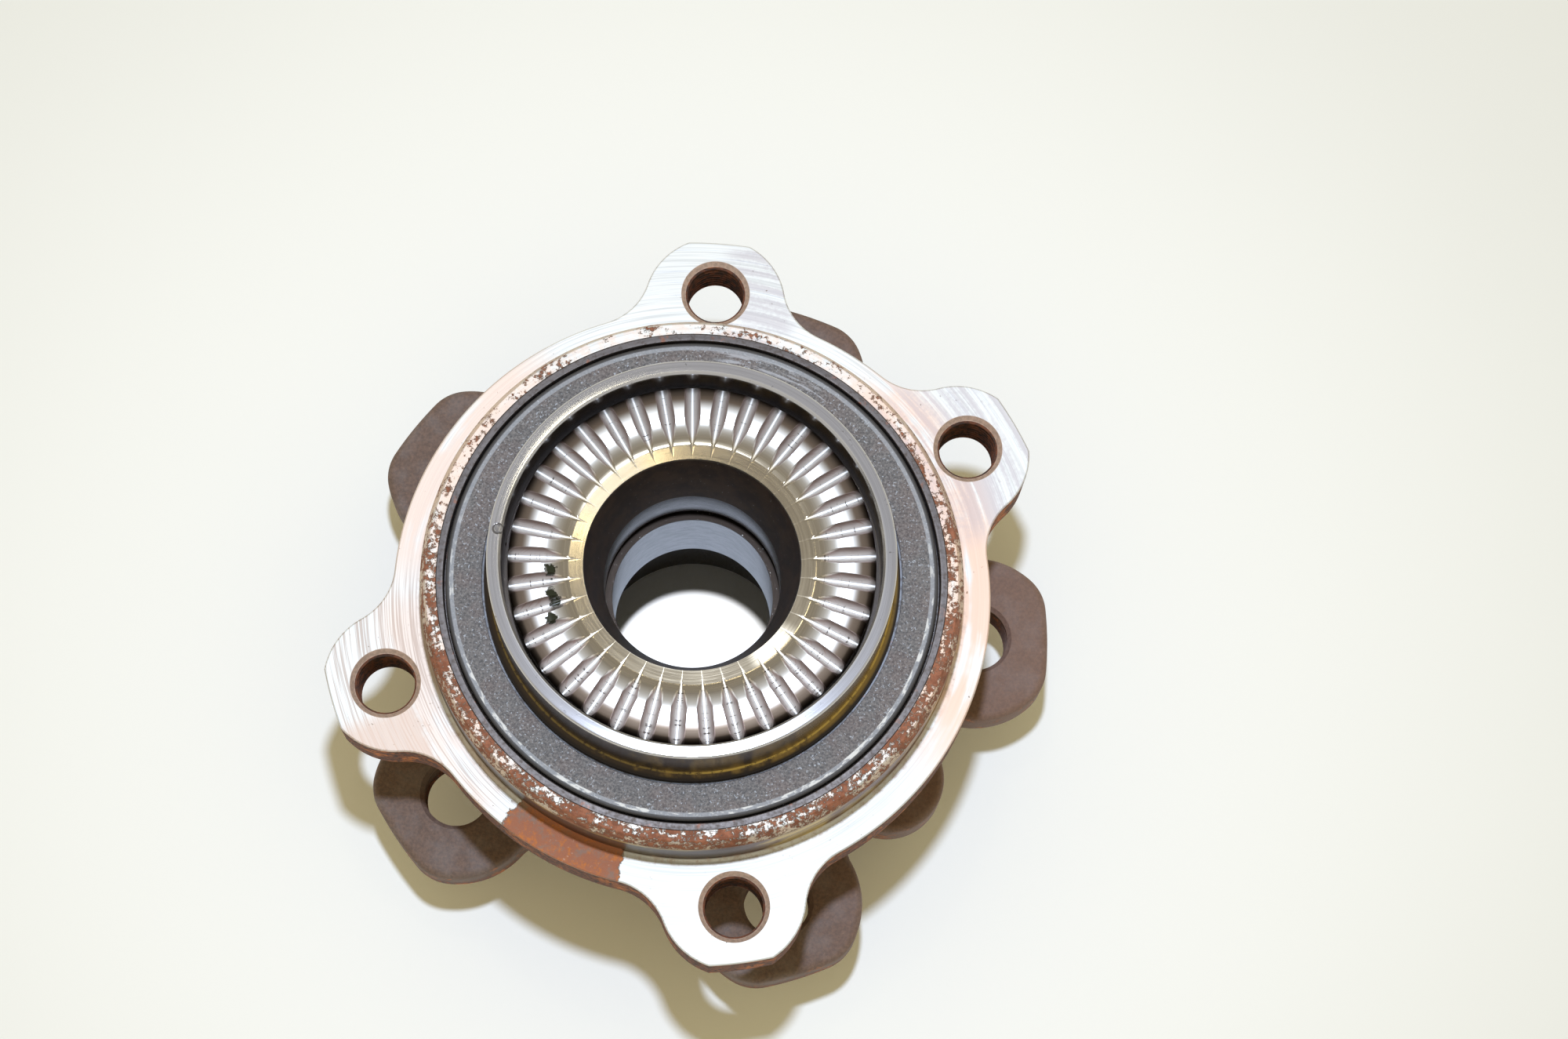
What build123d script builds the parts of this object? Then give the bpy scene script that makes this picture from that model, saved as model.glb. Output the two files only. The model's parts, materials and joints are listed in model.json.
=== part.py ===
from build123d import *
import os
from math import asin, cos, degrees, radians, sin, tan

# Driven wheel hub bearing unit, in millimetres. Z is the bearing axis and points inboard, towards
# the knuckle and the drive shaft. The origin is the middle of the wheel bolt circle, in the face
# that the wheel bolts against. X points to one wheel bolt hole.

# --- Radial stack, from the bore outwards ---
bore_r = 15.15              # long ground land that the drive bolt passes
stem_wall = 12.35           # hub stem between that land and the inner ring
ring_wall = 5.75            # inner ring under its ball track
ball_d = 12.7               # half-inch ball
outer_wall = 4.1            # outer ring behind its ball track
seat_step = 1.3             # seal seat, deeper than the open side of the track

# --- Ball rows ---
balls_per_row = 15
contact_angle = 40.0        # degrees
track_gap = 0.02            # ball to track, at the contact
track_ratio = 0.53          # track radius over ball diameter
snap_height = 0.3           # low shoulder that a ball snaps over
outer_shoulder = 2.4        # outer ring's high shoulder, outside the pitch circle
inner_shoulder = 1.45       # seal land, inside the pitch circle
row_spacing = 16.5

# --- Axial stack, from the wheel face inboard ---
wheel_flange_t = 10.0
hub_face_step = 0.5         # ground seal face above the back of the wheel flange
hub_face_in = 4.0           # its edge, inside the web's
end_gap = 2.7               # outer ring's end to that face
outboard_seal_depth = 3.4
inboard_seal_depth = 4.8
cage_gap = 0.8              # cage to either seal
collar_seat_rise = 4.8      # the step that the rolled collar holds, above the outer ring's rim
collar_t = 4.8              # collar over that step, at its flat annulus
skirt_rise = 10.5           # inner ring's skirt above the step
skirt_t = 2.54
skirt_gap = 0.96            # skirt to collar
land_over = 0.7             # seal land above the rim
skirt_taper_l = 1.4         # from the land to the skirt
skirt_edge = 0.4

# --- Wheel flange and spigot ---
wheel_lobes = 5
wheel_bolt_pcd = 112.0
wheel_hole_d = 12.7         # core of M14 x 1.25
wheel_flange_d = 140.8
lobe_r = 16.6
lobe_corner_r = 4.0
web_r = 46.5
web_fillet = 10.0
dish_depth = 1.5            # relief of the wheel face round the spigot
dish_r = 44.0
disc_pilot_d = 74.9
disc_pilot_l = 5.0
disc_pilot_break = 0.5
spigot_d = 66.5
spigot_l = 15.0
spigot_chamfer = 2.0
screw_ear_r = 11.0          # small ear for the brake disc's screw
screw_ear_fillet = 4.0
screw_hole_d = 6.8          # core of M8
screw_out = 1.5             # its hole's axis, outside the web
recess_wall = 12.9          # spigot wall round the drive bolt's head
recess_depth = 32.6

# --- Bore towards the drive shaft ---
joint_land_step = 1.25      # upper land, outside the lower one
joint_relief = 0.8          # undercut between the two
joint_relief_l = 1.9
bore_land_l = 21.5
joint_land_l = 10.6
cone_foot = 3.4             # lead-in cone, radial

# --- Face spline, rolled into the collar ---
spline_teeth = 37
spline_phase = 3.5          # degrees from X to a groove
spline_rise = 1.85          # crest of the lands over the annulus
spline_flank = 26.0         # degrees, half of the groove's V
spline_root_r = 0.85
spline_fall = 1.5           # degrees, the root falls outwards
annulus_w = 2.5
crest_run = 5.45            # annulus to crest, radial
land_foot_r = 3.0           # hollow where the lands rise from the annulus
land_back_r = 18.0          # crown of the lands outside the crest
collar_reach = 5.9          # collar's outside, outside the stem
collar_corner_r = 1.5
collar_under_r = 1.2
spline_margin = 0.6         # cutter above the lands
spline_lead = 0.4           # cutter inside the groove's inner tip
tip_in = 0.4                # groove's inner tip, inside the start of the lands

# --- Knuckle flange ---
pilot_l = 12.3
pilot_root_r = 1.0
rim_chamfer = 1.25
rim_chamfer_l = 2.4
knuckle_flange_t = 11.4
flange_ledge = 5.85         # flange outside the pilot
ear_hole_out = 9.35         # ear holes outside the pilot
ear_hole_d = 10.8           # core of M12 x 1.25
ear_hole_chamfer = 1.2
ear_r = 13.6
ear_in = 2.1                # ear's centre inside its hole
ear_tip_out = 10.4          # turned tip, outside the hole circle
ear_fillet = 12.0
ear_axis = 58.2             # degrees from X to the flange's line of symmetry
ear_close = 28.7            # half angle between the two close holes
ear_wide = 40.3             # half angle between the other two

# --- Seals, cages and breaks ---
case_t = 1.4
case_plate_t = 1.0
lip_gap = 0.1
lip_t = 0.5
plate_hole_gap = 2.6        # case plate to the seal land
neck_r = 2.0                # fillet from the hub's seal land to its seal face
flinger_t = 0.7
encoder_t = 0.7
encoder_gap = 0.4
encoder_edge_r = 0.5
encoder_step = 0.45         # bare sleeve showing inside the encoder
cage_back = 7.6             # cage beyond the ball's centre, on the seal side
cage_front = 2.0
cage_in = 0.75              # cage inside the pitch circle
cage_out = 3.4
pocket_gap = 0.15
edge_break = 0.5
forged_r = 1.5
hole_chamfer = 0.8

# --- Sizes that follow ---
ball_r = ball_d / 2
stem_r = bore_r + stem_wall
track_r = track_ratio * ball_d
track_shift = track_r - ball_r - track_gap
pitch_r = stem_r + ring_wall + track_r - track_shift * cos(radians(contact_angle))
inner_track_r = stem_r + ring_wall
outer_track_r = pitch_r + track_r - track_shift * cos(radians(contact_angle))
low_r = inner_track_r + snap_height
open_r = outer_track_r - snap_height
land_r = pitch_r - inner_shoulder
mid_r = pitch_r + outer_shoulder
seat_r = open_r + seat_step
pilot_r = outer_track_r + outer_wall

hub_face_z = wheel_flange_t + hub_face_step
outer_end_z = hub_face_z + end_gap
outboard_seal_z = outer_end_z + outboard_seal_depth
row_out_z = outboard_seal_z + cage_gap + cage_back
row_in_z = row_out_z + row_spacing
inboard_seal_z = row_in_z + cage_back + cage_gap
rim_z = inboard_seal_z + inboard_seal_depth
rings_meet_z = (row_out_z + row_in_z) / 2
step_z = rim_z + collar_seat_rise
annulus_z = step_z + collar_t
crest_z = annulus_z + spline_rise
skirt_z = step_z + skirt_rise
knuckle_z = rim_z - pilot_l

joint_r = bore_r + joint_land_step
cone_r = joint_r + cone_foot
land_start_r = cone_r + annulus_w
crest_r = land_start_r + crest_run
bolt_seat_z = recess_depth - spigot_l
bore_land_z = bolt_seat_z + bore_land_l
joint_land_z = bore_land_z + joint_relief_l
cone_z = joint_land_z + joint_land_l
recess_r = spigot_d / 2 - recess_wall

hub_face_r = web_r - hub_face_in
collar_r = stem_r + collar_reach
skirt_in_r = collar_r + skirt_gap
skirt_out_r = skirt_in_r + skirt_t
disc_pilot_r = disc_pilot_d / 2
spigot_r = spigot_d / 2
wheel_bolt_r = wheel_bolt_pcd / 2
screw_r = web_r + screw_out
screw_angle = -180.0 / wheel_lobes
flange_r = pilot_r + flange_ledge
ear_hole_pcr = pilot_r + ear_hole_out
ear_angles = [ear_axis - ear_close, ear_axis + ear_close,
              ear_axis + 180 - ear_wide, ear_axis + 180 + ear_wide]
case_hole_r = land_r + plate_hole_gap
sleeve_r = land_r + flinger_t
encoder_r = seat_r - case_t - encoder_gap
flinger_z = rim_z - encoder_t


def turned(*points):
    """A solid of revolution about Z from a closed outline of (radius, height) points."""
    return revolve(Plane.XZ * make_face(Polyline(*points, close=True)), Axis.Z)


def around(angle, radius, z=0.0):
    """The place at an angle and radius about Z, turned to face outwards."""
    return Rot(0, 0, angle) * Pos(radius, 0, z)


def track(row_z, side, inner):
    """Torus that cuts one ball track; side is +1 where the row's outer contact faces inboard."""
    sign = 1 if inner else -1
    r = pitch_r + sign * track_shift * cos(radians(contact_angle))
    z = row_z + sign * side * track_shift * sin(radians(contact_angle))
    return Pos(0, 0, z) * Torus(r, track_r)


def hole(core_d, low_z, high_z, low_chamfer, high_chamfer):
    """Cutter for a through hole with a 45 degree countersink at each mouth."""
    r = core_d / 2
    over = 1.0
    return turned((0, low_z - over), (r + low_chamfer + over, low_z - over), (r, low_z + low_chamfer),
                  (r, high_z - high_chamfer), (r + high_chamfer + over, high_z + over), (0, high_z + over))


def plate(outline, low_z, high_z, low_break, high_break):
    """An extruded outline, its outer edges broken at the bottom and top."""
    slab = Pos(0, 0, low_z) * extrude(outline, high_z - low_z)
    slab = chamfer(slab.faces().sort_by(Axis.Z)[-1].outer_wire().edges(), high_break)
    return fillet(slab.faces().sort_by(Axis.Z)[0].outer_wire().edges(), low_break)


def filled(outline, radius):
    """An outline with its hollow corners filled to a radius."""
    return offset(offset(outline, radius), -radius)


def knuckle_outline():
    """Round flange with four ears, their tips turned to one circle."""
    outline = Sketch() + Circle(flange_r)
    for angle in ear_angles:
        outline += around(angle, ear_hole_pcr - ear_in) * Circle(ear_r)
    return filled(outline, ear_fillet) & Circle(ear_hole_pcr + ear_tip_out)


def outer_ring():
    """Forged outer ring: both outer tracks, seal seats, knuckle pilot and four-eared flange."""
    ring = turned((seat_r, outer_end_z), (pilot_r - edge_break, outer_end_z),
                  (pilot_r, outer_end_z + edge_break), (pilot_r, rim_z - rim_chamfer_l),
                  (pilot_r - rim_chamfer, rim_z), (seat_r, rim_z), (seat_r, inboard_seal_z),
                  (open_r, inboard_seal_z), (open_r, row_in_z), (mid_r, row_in_z),
                  (mid_r, row_out_z), (open_r, row_out_z), (open_r, outboard_seal_z),
                  (seat_r, outboard_seal_z))
    flange = plate(knuckle_outline(), knuckle_z - knuckle_flange_t, knuckle_z, forged_r, edge_break)
    flange -= Cylinder(pilot_r - edge_break, 4 * rim_z)
    root = turned((pilot_r, knuckle_z), (pilot_r + pilot_root_r, knuckle_z),
                  (pilot_r, knuckle_z + pilot_root_r))
    root -= Pos(0, 0, knuckle_z + pilot_root_r) * Torus(pilot_r + pilot_root_r, pilot_root_r)
    ring += [flange, root]
    ring -= [track(row_in_z, -1, False), track(row_out_z, 1, False)]
    bolt_hole = hole(ear_hole_d, knuckle_z - knuckle_flange_t, knuckle_z, hole_chamfer, ear_hole_chamfer)
    return ring - [around(angle, ear_hole_pcr) * bolt_hole for angle in ear_angles]


def wheel_outline():
    """Web with a round lobe at each wheel bolt and a small ear for the disc's screw."""
    outline = Sketch() + Circle(web_r)
    for n in range(wheel_lobes):
        outline += around(360 / wheel_lobes * n, wheel_bolt_r) * Circle(lobe_r)
    outline = filled(outline, web_fillet) & Circle(wheel_flange_d / 2)
    outline = offset(offset(outline, -lobe_corner_r), lobe_corner_r)
    outline += around(screw_angle, screw_r) * Circle(screw_ear_r)
    return filled(outline, screw_ear_fillet)


def hub_profile():
    """Half section of the hub: spigot, bolt recess, bore lands, rolled collar, stem and seal land."""
    front_r = (crest_run**2 + spline_rise**2) / (2 * spline_rise) - land_foot_r
    front_angle = degrees(asin(crest_run / (front_r + land_foot_r)))
    back_end_r = (collar_r - collar_corner_r - collar_corner_r * crest_r / land_back_r) \
        / (1 - collar_corner_r / land_back_r)
    back_angle = degrees(asin((back_end_r - crest_r) / land_back_r))
    with BuildLine() as line:
        front = JernArc((crest_r, crest_z), (-1, 0), front_r, front_angle)
        JernArc(front @ 1, front % 1, land_foot_r, -front_angle)
        back = JernArc((crest_r, crest_z), (1, 0), land_back_r, -back_angle)
        corner = JernArc(back @ 1, back % 1, collar_corner_r, back_angle - 90)
        under = JernArc((collar_r, step_z + collar_under_r), (0, -1), collar_under_r, -90)
        Line(corner @ 1, under @ 0)
        neck = JernArc((land_r, hub_face_z + neck_r), (0, -1), neck_r, 90)
        Polyline(under @ 1, (stem_r, step_z), (stem_r, rings_meet_z), (low_r, rings_meet_z),
                 (low_r, row_out_z), (land_r, row_out_z), neck @ 0)
        Polyline(neck @ 1, (hub_face_r, hub_face_z), (hub_face_r, dish_depth),
                 (disc_pilot_r, dish_depth), (disc_pilot_r, disc_pilot_break - disc_pilot_l),
                 (disc_pilot_r - disc_pilot_break, -disc_pilot_l), (spigot_r, -disc_pilot_l),
                 (spigot_r, spigot_chamfer - spigot_l), (spigot_r - spigot_chamfer, -spigot_l),
                 (recess_r + edge_break, -spigot_l), (recess_r, edge_break - spigot_l),
                 (recess_r, bolt_seat_z), (bore_r, bolt_seat_z), (bore_r, bore_land_z),
                 (joint_r + joint_relief, bore_land_z), (joint_r + joint_relief, joint_land_z),
                 (joint_r, joint_land_z), (joint_r, cone_z), (cone_r, annulus_z), (land_start_r, annulus_z))
    return make_face(line.line)


def spline_cutter():
    """One radial groove: a V with a round root that falls gently outwards through the annulus."""
    height = spline_rise + spline_margin
    half = height * tan(radians(spline_flank))
    start_r = land_start_r - tip_in
    fall = radians(spline_fall)
    face = Plane(origin=(start_r, 0, annulus_z), x_dir=(0, 1, 0), z_dir=(cos(fall), 0, -sin(fall)))
    sink = spline_root_r / sin(radians(spline_flank)) - spline_root_r
    vee = make_face(Polyline((0, -sink), (half + sink * tan(radians(spline_flank)), height),
                             (-half - sink * tan(radians(spline_flank)), height), close=True))
    vee = fillet(vee.vertices().sort_by(Axis.Y)[0], spline_root_r)
    groove = extrude(face * vee, collar_r - start_r + skirt_gap)
    return groove + extrude(face * vee, -spline_lead)


def hub():
    """Wheel flange, spigot and stem in one forging, its end rolled over into the splined collar."""
    body = revolve(Plane.XZ * hub_profile(), Axis.Z)
    flange = plate(wheel_outline(), 0, wheel_flange_t, forged_r, forged_r)
    flange -= Cylinder(hub_face_r - edge_break, 4 * wheel_flange_t)
    flange -= Cylinder(dish_r, 2 * dish_depth)
    body += flange
    body -= track(row_out_z, 1, True)
    bolt_hole = hole(wheel_hole_d, 0, wheel_flange_t, hole_chamfer, hole_chamfer)
    body -= [around(360 / wheel_lobes * n, wheel_bolt_r) * bolt_hole for n in range(wheel_lobes)]
    body -= around(screw_angle, screw_r) * hole(screw_hole_d, 0, wheel_flange_t, hole_chamfer, hole_chamfer)
    cutter = spline_cutter()
    return body - [Rot(0, 0, spline_phase + 360 / spline_teeth * n) * cutter for n in range(spline_teeth)]


def inner_ring():
    """Separate inboard inner ring: seat for the collar, and a skirt that stands up round it."""
    land_top = rim_z + land_over
    ring = turned((stem_r, rings_meet_z), (low_r, rings_meet_z), (low_r, row_in_z), (land_r, row_in_z),
                  (land_r, land_top), (skirt_out_r, land_top + skirt_taper_l),
                  (skirt_out_r, skirt_z - skirt_edge), (skirt_out_r - skirt_edge, skirt_z),
                  (skirt_in_r + skirt_edge, skirt_z), (skirt_in_r, skirt_z - skirt_edge),
                  (skirt_in_r, step_z), (stem_r, step_z))
    return ring - track(row_in_z, -1, True)


def seal_case(plate_z, mouth_z):
    """Pressed steel case: a wall in the outer ring's seat and a plate against its ledge."""
    way = 1 if mouth_z > plate_z else -1
    face_z = plate_z + way * case_plate_t
    return turned((seat_r, plate_z), (seat_r, mouth_z), (seat_r - case_t, mouth_z),
                  (seat_r - case_t, face_z), (case_hole_r, face_z), (case_hole_r, plate_z))


def seal_lips(plate_z, way, run_r, face_z):
    """Rubber on the case's plate: one lip to the sleeve or land, one to the face that turns."""
    front_z = plate_z + way * case_plate_t
    tip_z = face_z - way * lip_gap
    tip_r = run_r + lip_gap
    return turned((case_hole_r, plate_z), (case_hole_r, front_z), (case_hole_r + 3 * lip_t, front_z),
                  (case_hole_r + 5 * lip_t, tip_z), (case_hole_r + 4 * lip_t, tip_z),
                  (case_hole_r, front_z + way * lip_t), (tip_r + lip_t, front_z + 2 * way * lip_t),
                  (tip_r, front_z + 2 * way * lip_t), (tip_r, front_z + way * lip_t),
                  (case_hole_r - 2 * lip_t, plate_z))


def flinger():
    """Angle ring pressed on the inner ring's land, which carries the encoder."""
    foot_z = inboard_seal_z + case_plate_t
    return turned((land_r, foot_z), (sleeve_r, foot_z), (sleeve_r, flinger_z - flinger_t),
                  (encoder_r, flinger_z - flinger_t), (encoder_r, flinger_z), (land_r, flinger_z))


def encoder_ring():
    """Magnetised rubber ring that the wheel speed sensor reads."""
    low = land_r + encoder_step
    return turned((low, flinger_z), (encoder_r, flinger_z), (encoder_r, rim_z - encoder_edge_r),
                  (encoder_r - encoder_edge_r, rim_z), (low, rim_z))


def ball_places(row_z):
    return [around(360 / balls_per_row * n, pitch_r, row_z) for n in range(balls_per_row)]


def cage(row_z, way):
    """Crown cage: a back ring on the seal's side, with round pockets open towards the other row."""
    low = pitch_r - cage_in
    high = pitch_r + cage_out
    back_z = row_z + way * cage_back
    front_z = row_z - way * cage_front
    ring = turned((low, front_z), (high, front_z), (high, back_z - way * edge_break),
                  (high - edge_break, back_z), (low + edge_break, back_z), (low, back_z - way * edge_break))
    return ring - [place * Sphere(ball_r + pocket_gap) for place in ball_places(row_z)]


os.makedirs("parts", exist_ok=True)
parts = {
    "outer_ring": outer_ring(),
    "hub": hub(),
    "inner_ring": inner_ring(),
    "seal_case_inboard": seal_case(inboard_seal_z, rim_z),
    "seal_lips_inboard": seal_lips(inboard_seal_z, 1, sleeve_r, flinger_z - flinger_t),
    "flinger": flinger(),
    "encoder_ring": encoder_ring(),
    "seal_case_outboard": seal_case(outboard_seal_z, outer_end_z),
    "seal_lips_outboard": seal_lips(outboard_seal_z, -1, land_r, hub_face_z),
    "cage_inboard": cage(row_in_z, 1),
    "cage_outboard": cage(row_out_z, -1),
}
for row, row_z in (("inboard", row_in_z), ("outboard", row_out_z)):
    for number, place in enumerate(ball_places(row_z), 1):
        parts[f"ball_{row}_{number:02d}"] = place * Sphere(ball_r)
for node, shape in parts.items():
    export_step(shape, f"parts/{node}.step")
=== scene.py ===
# Driven wheel hub bearing: its forgings, rings and seals modelled and finished on the CAD frame.
# Z is the bearing axis and points inboard, up from the floor. X points to one wheel bolt hole.

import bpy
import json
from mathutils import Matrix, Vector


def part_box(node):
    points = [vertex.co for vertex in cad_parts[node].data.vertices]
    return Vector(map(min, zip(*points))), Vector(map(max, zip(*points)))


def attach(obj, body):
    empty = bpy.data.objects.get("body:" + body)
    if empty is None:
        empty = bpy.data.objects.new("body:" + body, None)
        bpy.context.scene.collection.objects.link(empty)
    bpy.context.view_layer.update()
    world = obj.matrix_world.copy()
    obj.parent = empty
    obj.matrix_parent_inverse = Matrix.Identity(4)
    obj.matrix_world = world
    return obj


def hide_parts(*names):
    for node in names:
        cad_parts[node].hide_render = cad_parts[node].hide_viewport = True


bl_info = {
    "name": "Wheel hub bearing",
    "version": (1, 0, 0),
    "blender": (4, 5, 0),
    "location": "3D View > Sidebar > Hub bearing",
    "description": "Models and finishes a driven wheel hub bearing on its CAD frame",
    "category": "Add Mesh",
}

import json
from math import asin, atan2, ceil, cos, degrees, pi, radians, sin, sqrt, tan, tau

import bmesh
import bpy
from mathutils import Matrix, Quaternion, Vector

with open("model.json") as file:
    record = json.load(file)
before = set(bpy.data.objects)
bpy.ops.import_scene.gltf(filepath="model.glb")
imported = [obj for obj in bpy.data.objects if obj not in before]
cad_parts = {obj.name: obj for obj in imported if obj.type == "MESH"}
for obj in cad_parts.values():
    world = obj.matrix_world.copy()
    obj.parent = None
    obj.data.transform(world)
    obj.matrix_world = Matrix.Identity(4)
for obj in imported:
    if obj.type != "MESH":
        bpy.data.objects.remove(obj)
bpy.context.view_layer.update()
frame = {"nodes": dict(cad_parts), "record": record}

MM = 0.001
UP = Vector((0, 0, 1))
MOUNTS = {mount["name"]: mount for mount in frame["record"]["mounts"]}
LOW = {node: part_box(node)[0] for node in frame["nodes"]}
HIGH = {node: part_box(node)[1] for node in frame["nodes"]}
MIDDLE = Vector((0, 0, 0))
SPLINE_TEETH = 37
LOBES = 5
RING_STEPS = 288                    # facets round the rings,
HUB_STEPS = 8 * SPLINE_TEETH        # round the hub, a whole number for each groove,
HOLE_STEPS = 48                     # and round a tapped hole
SMOOTH = radians(32)
WELD = 1e-6


def mount_radius(name, key="r_mm"):
    return MOUNTS[name]["dims"][key] * MM


def mount_height(name):
    return MOUNTS[name]["pos_m"][2]


def mount_angle(name):
    """Degrees from X to a mount's place."""
    x, y, _ = MOUNTS[name]["pos_m"]
    return degrees(atan2(y, x))


# --- Sizes and colours that a user would change ---

def size(title, default, text):
    return bpy.props.FloatProperty(name=title, description=text, default=default,
                                   subtype="DISTANCE", unit="LENGTH", precision=5)


def turn(title, default, text):
    return bpy.props.FloatProperty(name=title, description=text, default=radians(default),
                                   subtype="ANGLE", unit="ROTATION")


def colour(title, default, text):
    return bpy.props.FloatVectorProperty(name=title, description=text, default=default, size=3,
                                         min=0.0, max=1.0, subtype="COLOR")


class HubRingSizes(bpy.types.PropertyGroup):
    """Outer ring, its seals and the inner ring."""
    pilot_r: size("Pilot radius", mount_radius("knuckle_pilot"), "Outside of the outer ring")
    rim_z: size("Rim", HIGH["encoder_ring"].z, "Inboard rim of the outer ring")
    end_z: size("Outboard end", LOW["outer_ring"].z, "Outboard end of the outer ring")
    seat_r: size("Seal seat", HIGH["seal_case_inboard"].x, "Bore that the seal cases sit in")
    seat_depth: size("Seat depth", 4.8 * MM, "Depth of the inboard seal seat")
    seat_depth_out: size("Outboard seat depth", 3.4 * MM, "Depth of the outboard seal seat")
    rim_chamfer: size("Rim chamfer", 1.25 * MM, "Chamfer of the rim, across")
    rim_chamfer_l: size("Rim chamfer length", 2.4 * MM, "Chamfer of the rim, along the axis")
    root_r: size("Pilot root", 1.0 * MM, "Fillet between the pilot and the knuckle face")
    face_z: size("Knuckle face", mount_height("knuckle_face"), "Face that the knuckle rests on")
    flange_t: size("Flange thickness", 11.4 * MM, "Thickness of the knuckle flange")
    flange_r: size("Flange radius", 56.109 * MM, "Knuckle flange between its ears")
    ear_pcr: size("Ear hole circle", 59.609 * MM, "Radius of the circle through the ear holes")
    ear_r: size("Ear radius", 13.6 * MM, "Round side of an ear")
    ear_in: size("Ear centre", 2.1 * MM, "Ear's centre, inside its hole")
    ear_tip: size("Ear tip", 10.4 * MM, "Turned tip of an ear, outside the hole circle")
    ear_fillet: size("Ear fillet", 12.0 * MM, "Fillet between an ear and the flange")
    ear_hole_r: size("Ear hole", mount_radius("knuckle_bolt_1"), "Core of the thread in an ear")
    ear_countersink: size("Ear countersink", 1.2 * MM, "Countersink of an ear hole")
    groove_gap: size("Encoder gap", 0.4 * MM, "Groove between the encoder and the seal case")
    case_t: size("Case thickness", 1.4 * MM, "Wall of a seal case")
    skirt_r: size("Skirt radius", mount_radius("joint_seal_seat"), "Outside of the skirt")
    skirt_t: size("Skirt thickness", 2.54 * MM, "Wall of the inner ring's skirt")
    land_r: size("Seal land", HIGH["inner_ring"].x, "Stretch of the inner ring under the seal")


class HubForgingSizes(bpy.types.PropertyGroup):
    """Wheel flange, spigot, stem and rolled collar."""
    flange_t: size("Wheel flange thickness", 10.0 * MM, "Thickness of the lobed wheel flange")
    flange_r: size("Wheel flange radius", 70.4 * MM, "Circle through the tips of the lobes")
    bolt_pcr: size("Wheel bolt circle", 56.0 * MM, "Radius of the circle through the bolt holes")
    bolt_hole_r: size("Wheel bolt hole", mount_radius("wheel_bolts", "hole_r_mm"),
                      "Core of its thread")
    lobe_r: size("Lobe radius", 16.6 * MM, "Round side of a lobe")
    lobe_corner_r: size("Lobe corner", 9.0 * MM, "Corner at a lobe's turned tip")
    web_r: size("Web radius", 46.5 * MM, "Wheel flange between its lobes")
    web_fillet: size("Web fillet", 10.0 * MM, "Fillet between a lobe and the web")
    screw_hole_r: size("Disc screw hole", mount_radius("disc_screw"), "Core of its thread")
    screw_ear_r: size("Disc screw ear", 11.0 * MM, "Small ear round the disc screw's hole")
    screw_ear_fillet: size("Disc screw ear fillet", 4.0 * MM, "Fillet at that ear")
    face_r: size("Seal face", 42.5 * MM, "Ground face that the outboard seal runs on")
    dish_r: size("Dish radius", 44.0 * MM, "Relief of the wheel face round the spigot")
    dish_depth: size("Dish depth", 1.5 * MM, "Depth of that relief")
    pilot_r: size("Disc pilot", mount_radius("disc_pilot"), "Step that centres the brake disc")
    spigot_r: size("Spigot", mount_radius("wheel_spigot"), "Spigot that centres the wheel")
    recess_r: size("Bolt recess", mount_radius("bolt_head_recess"), "Round the drive bolt's head")
    bore_r: size("Bore", mount_radius("drive_bolt_bore"), "Lower ground land")
    joint_r: size("Joint bore", mount_radius("joint_bore"), "Upper ground land")
    stem_r: size("Stem", 27.5 * MM, "Stem inside the inner ring")
    collar_r: size("Collar", 33.4 * MM, "Outside of the rolled collar")
    annulus_z: size("Annulus", mount_height("face_spline"), "Flat inside the spline")
    crest_z: size("Spline crest", HIGH["hub"].z, "Top of the spline's lands")
    crest_r: size("Crest radius", 27.75 * MM, "Radius of the lands' highest circle")
    land_start_r: size("Land start", 22.3 * MM, "Where the lands rise from the annulus")
    land_foot_r: size("Land foot", 3.0 * MM, "Hollow at that rise")
    spline_phase: turn("Spline phase", 3.5, "From X to the first groove")
    spline_flank: turn("Spline flank", 26.0, "Half of a groove's V")
    spline_root_r: size("Spline root", 0.85 * MM, "Round root of a groove")


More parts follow.
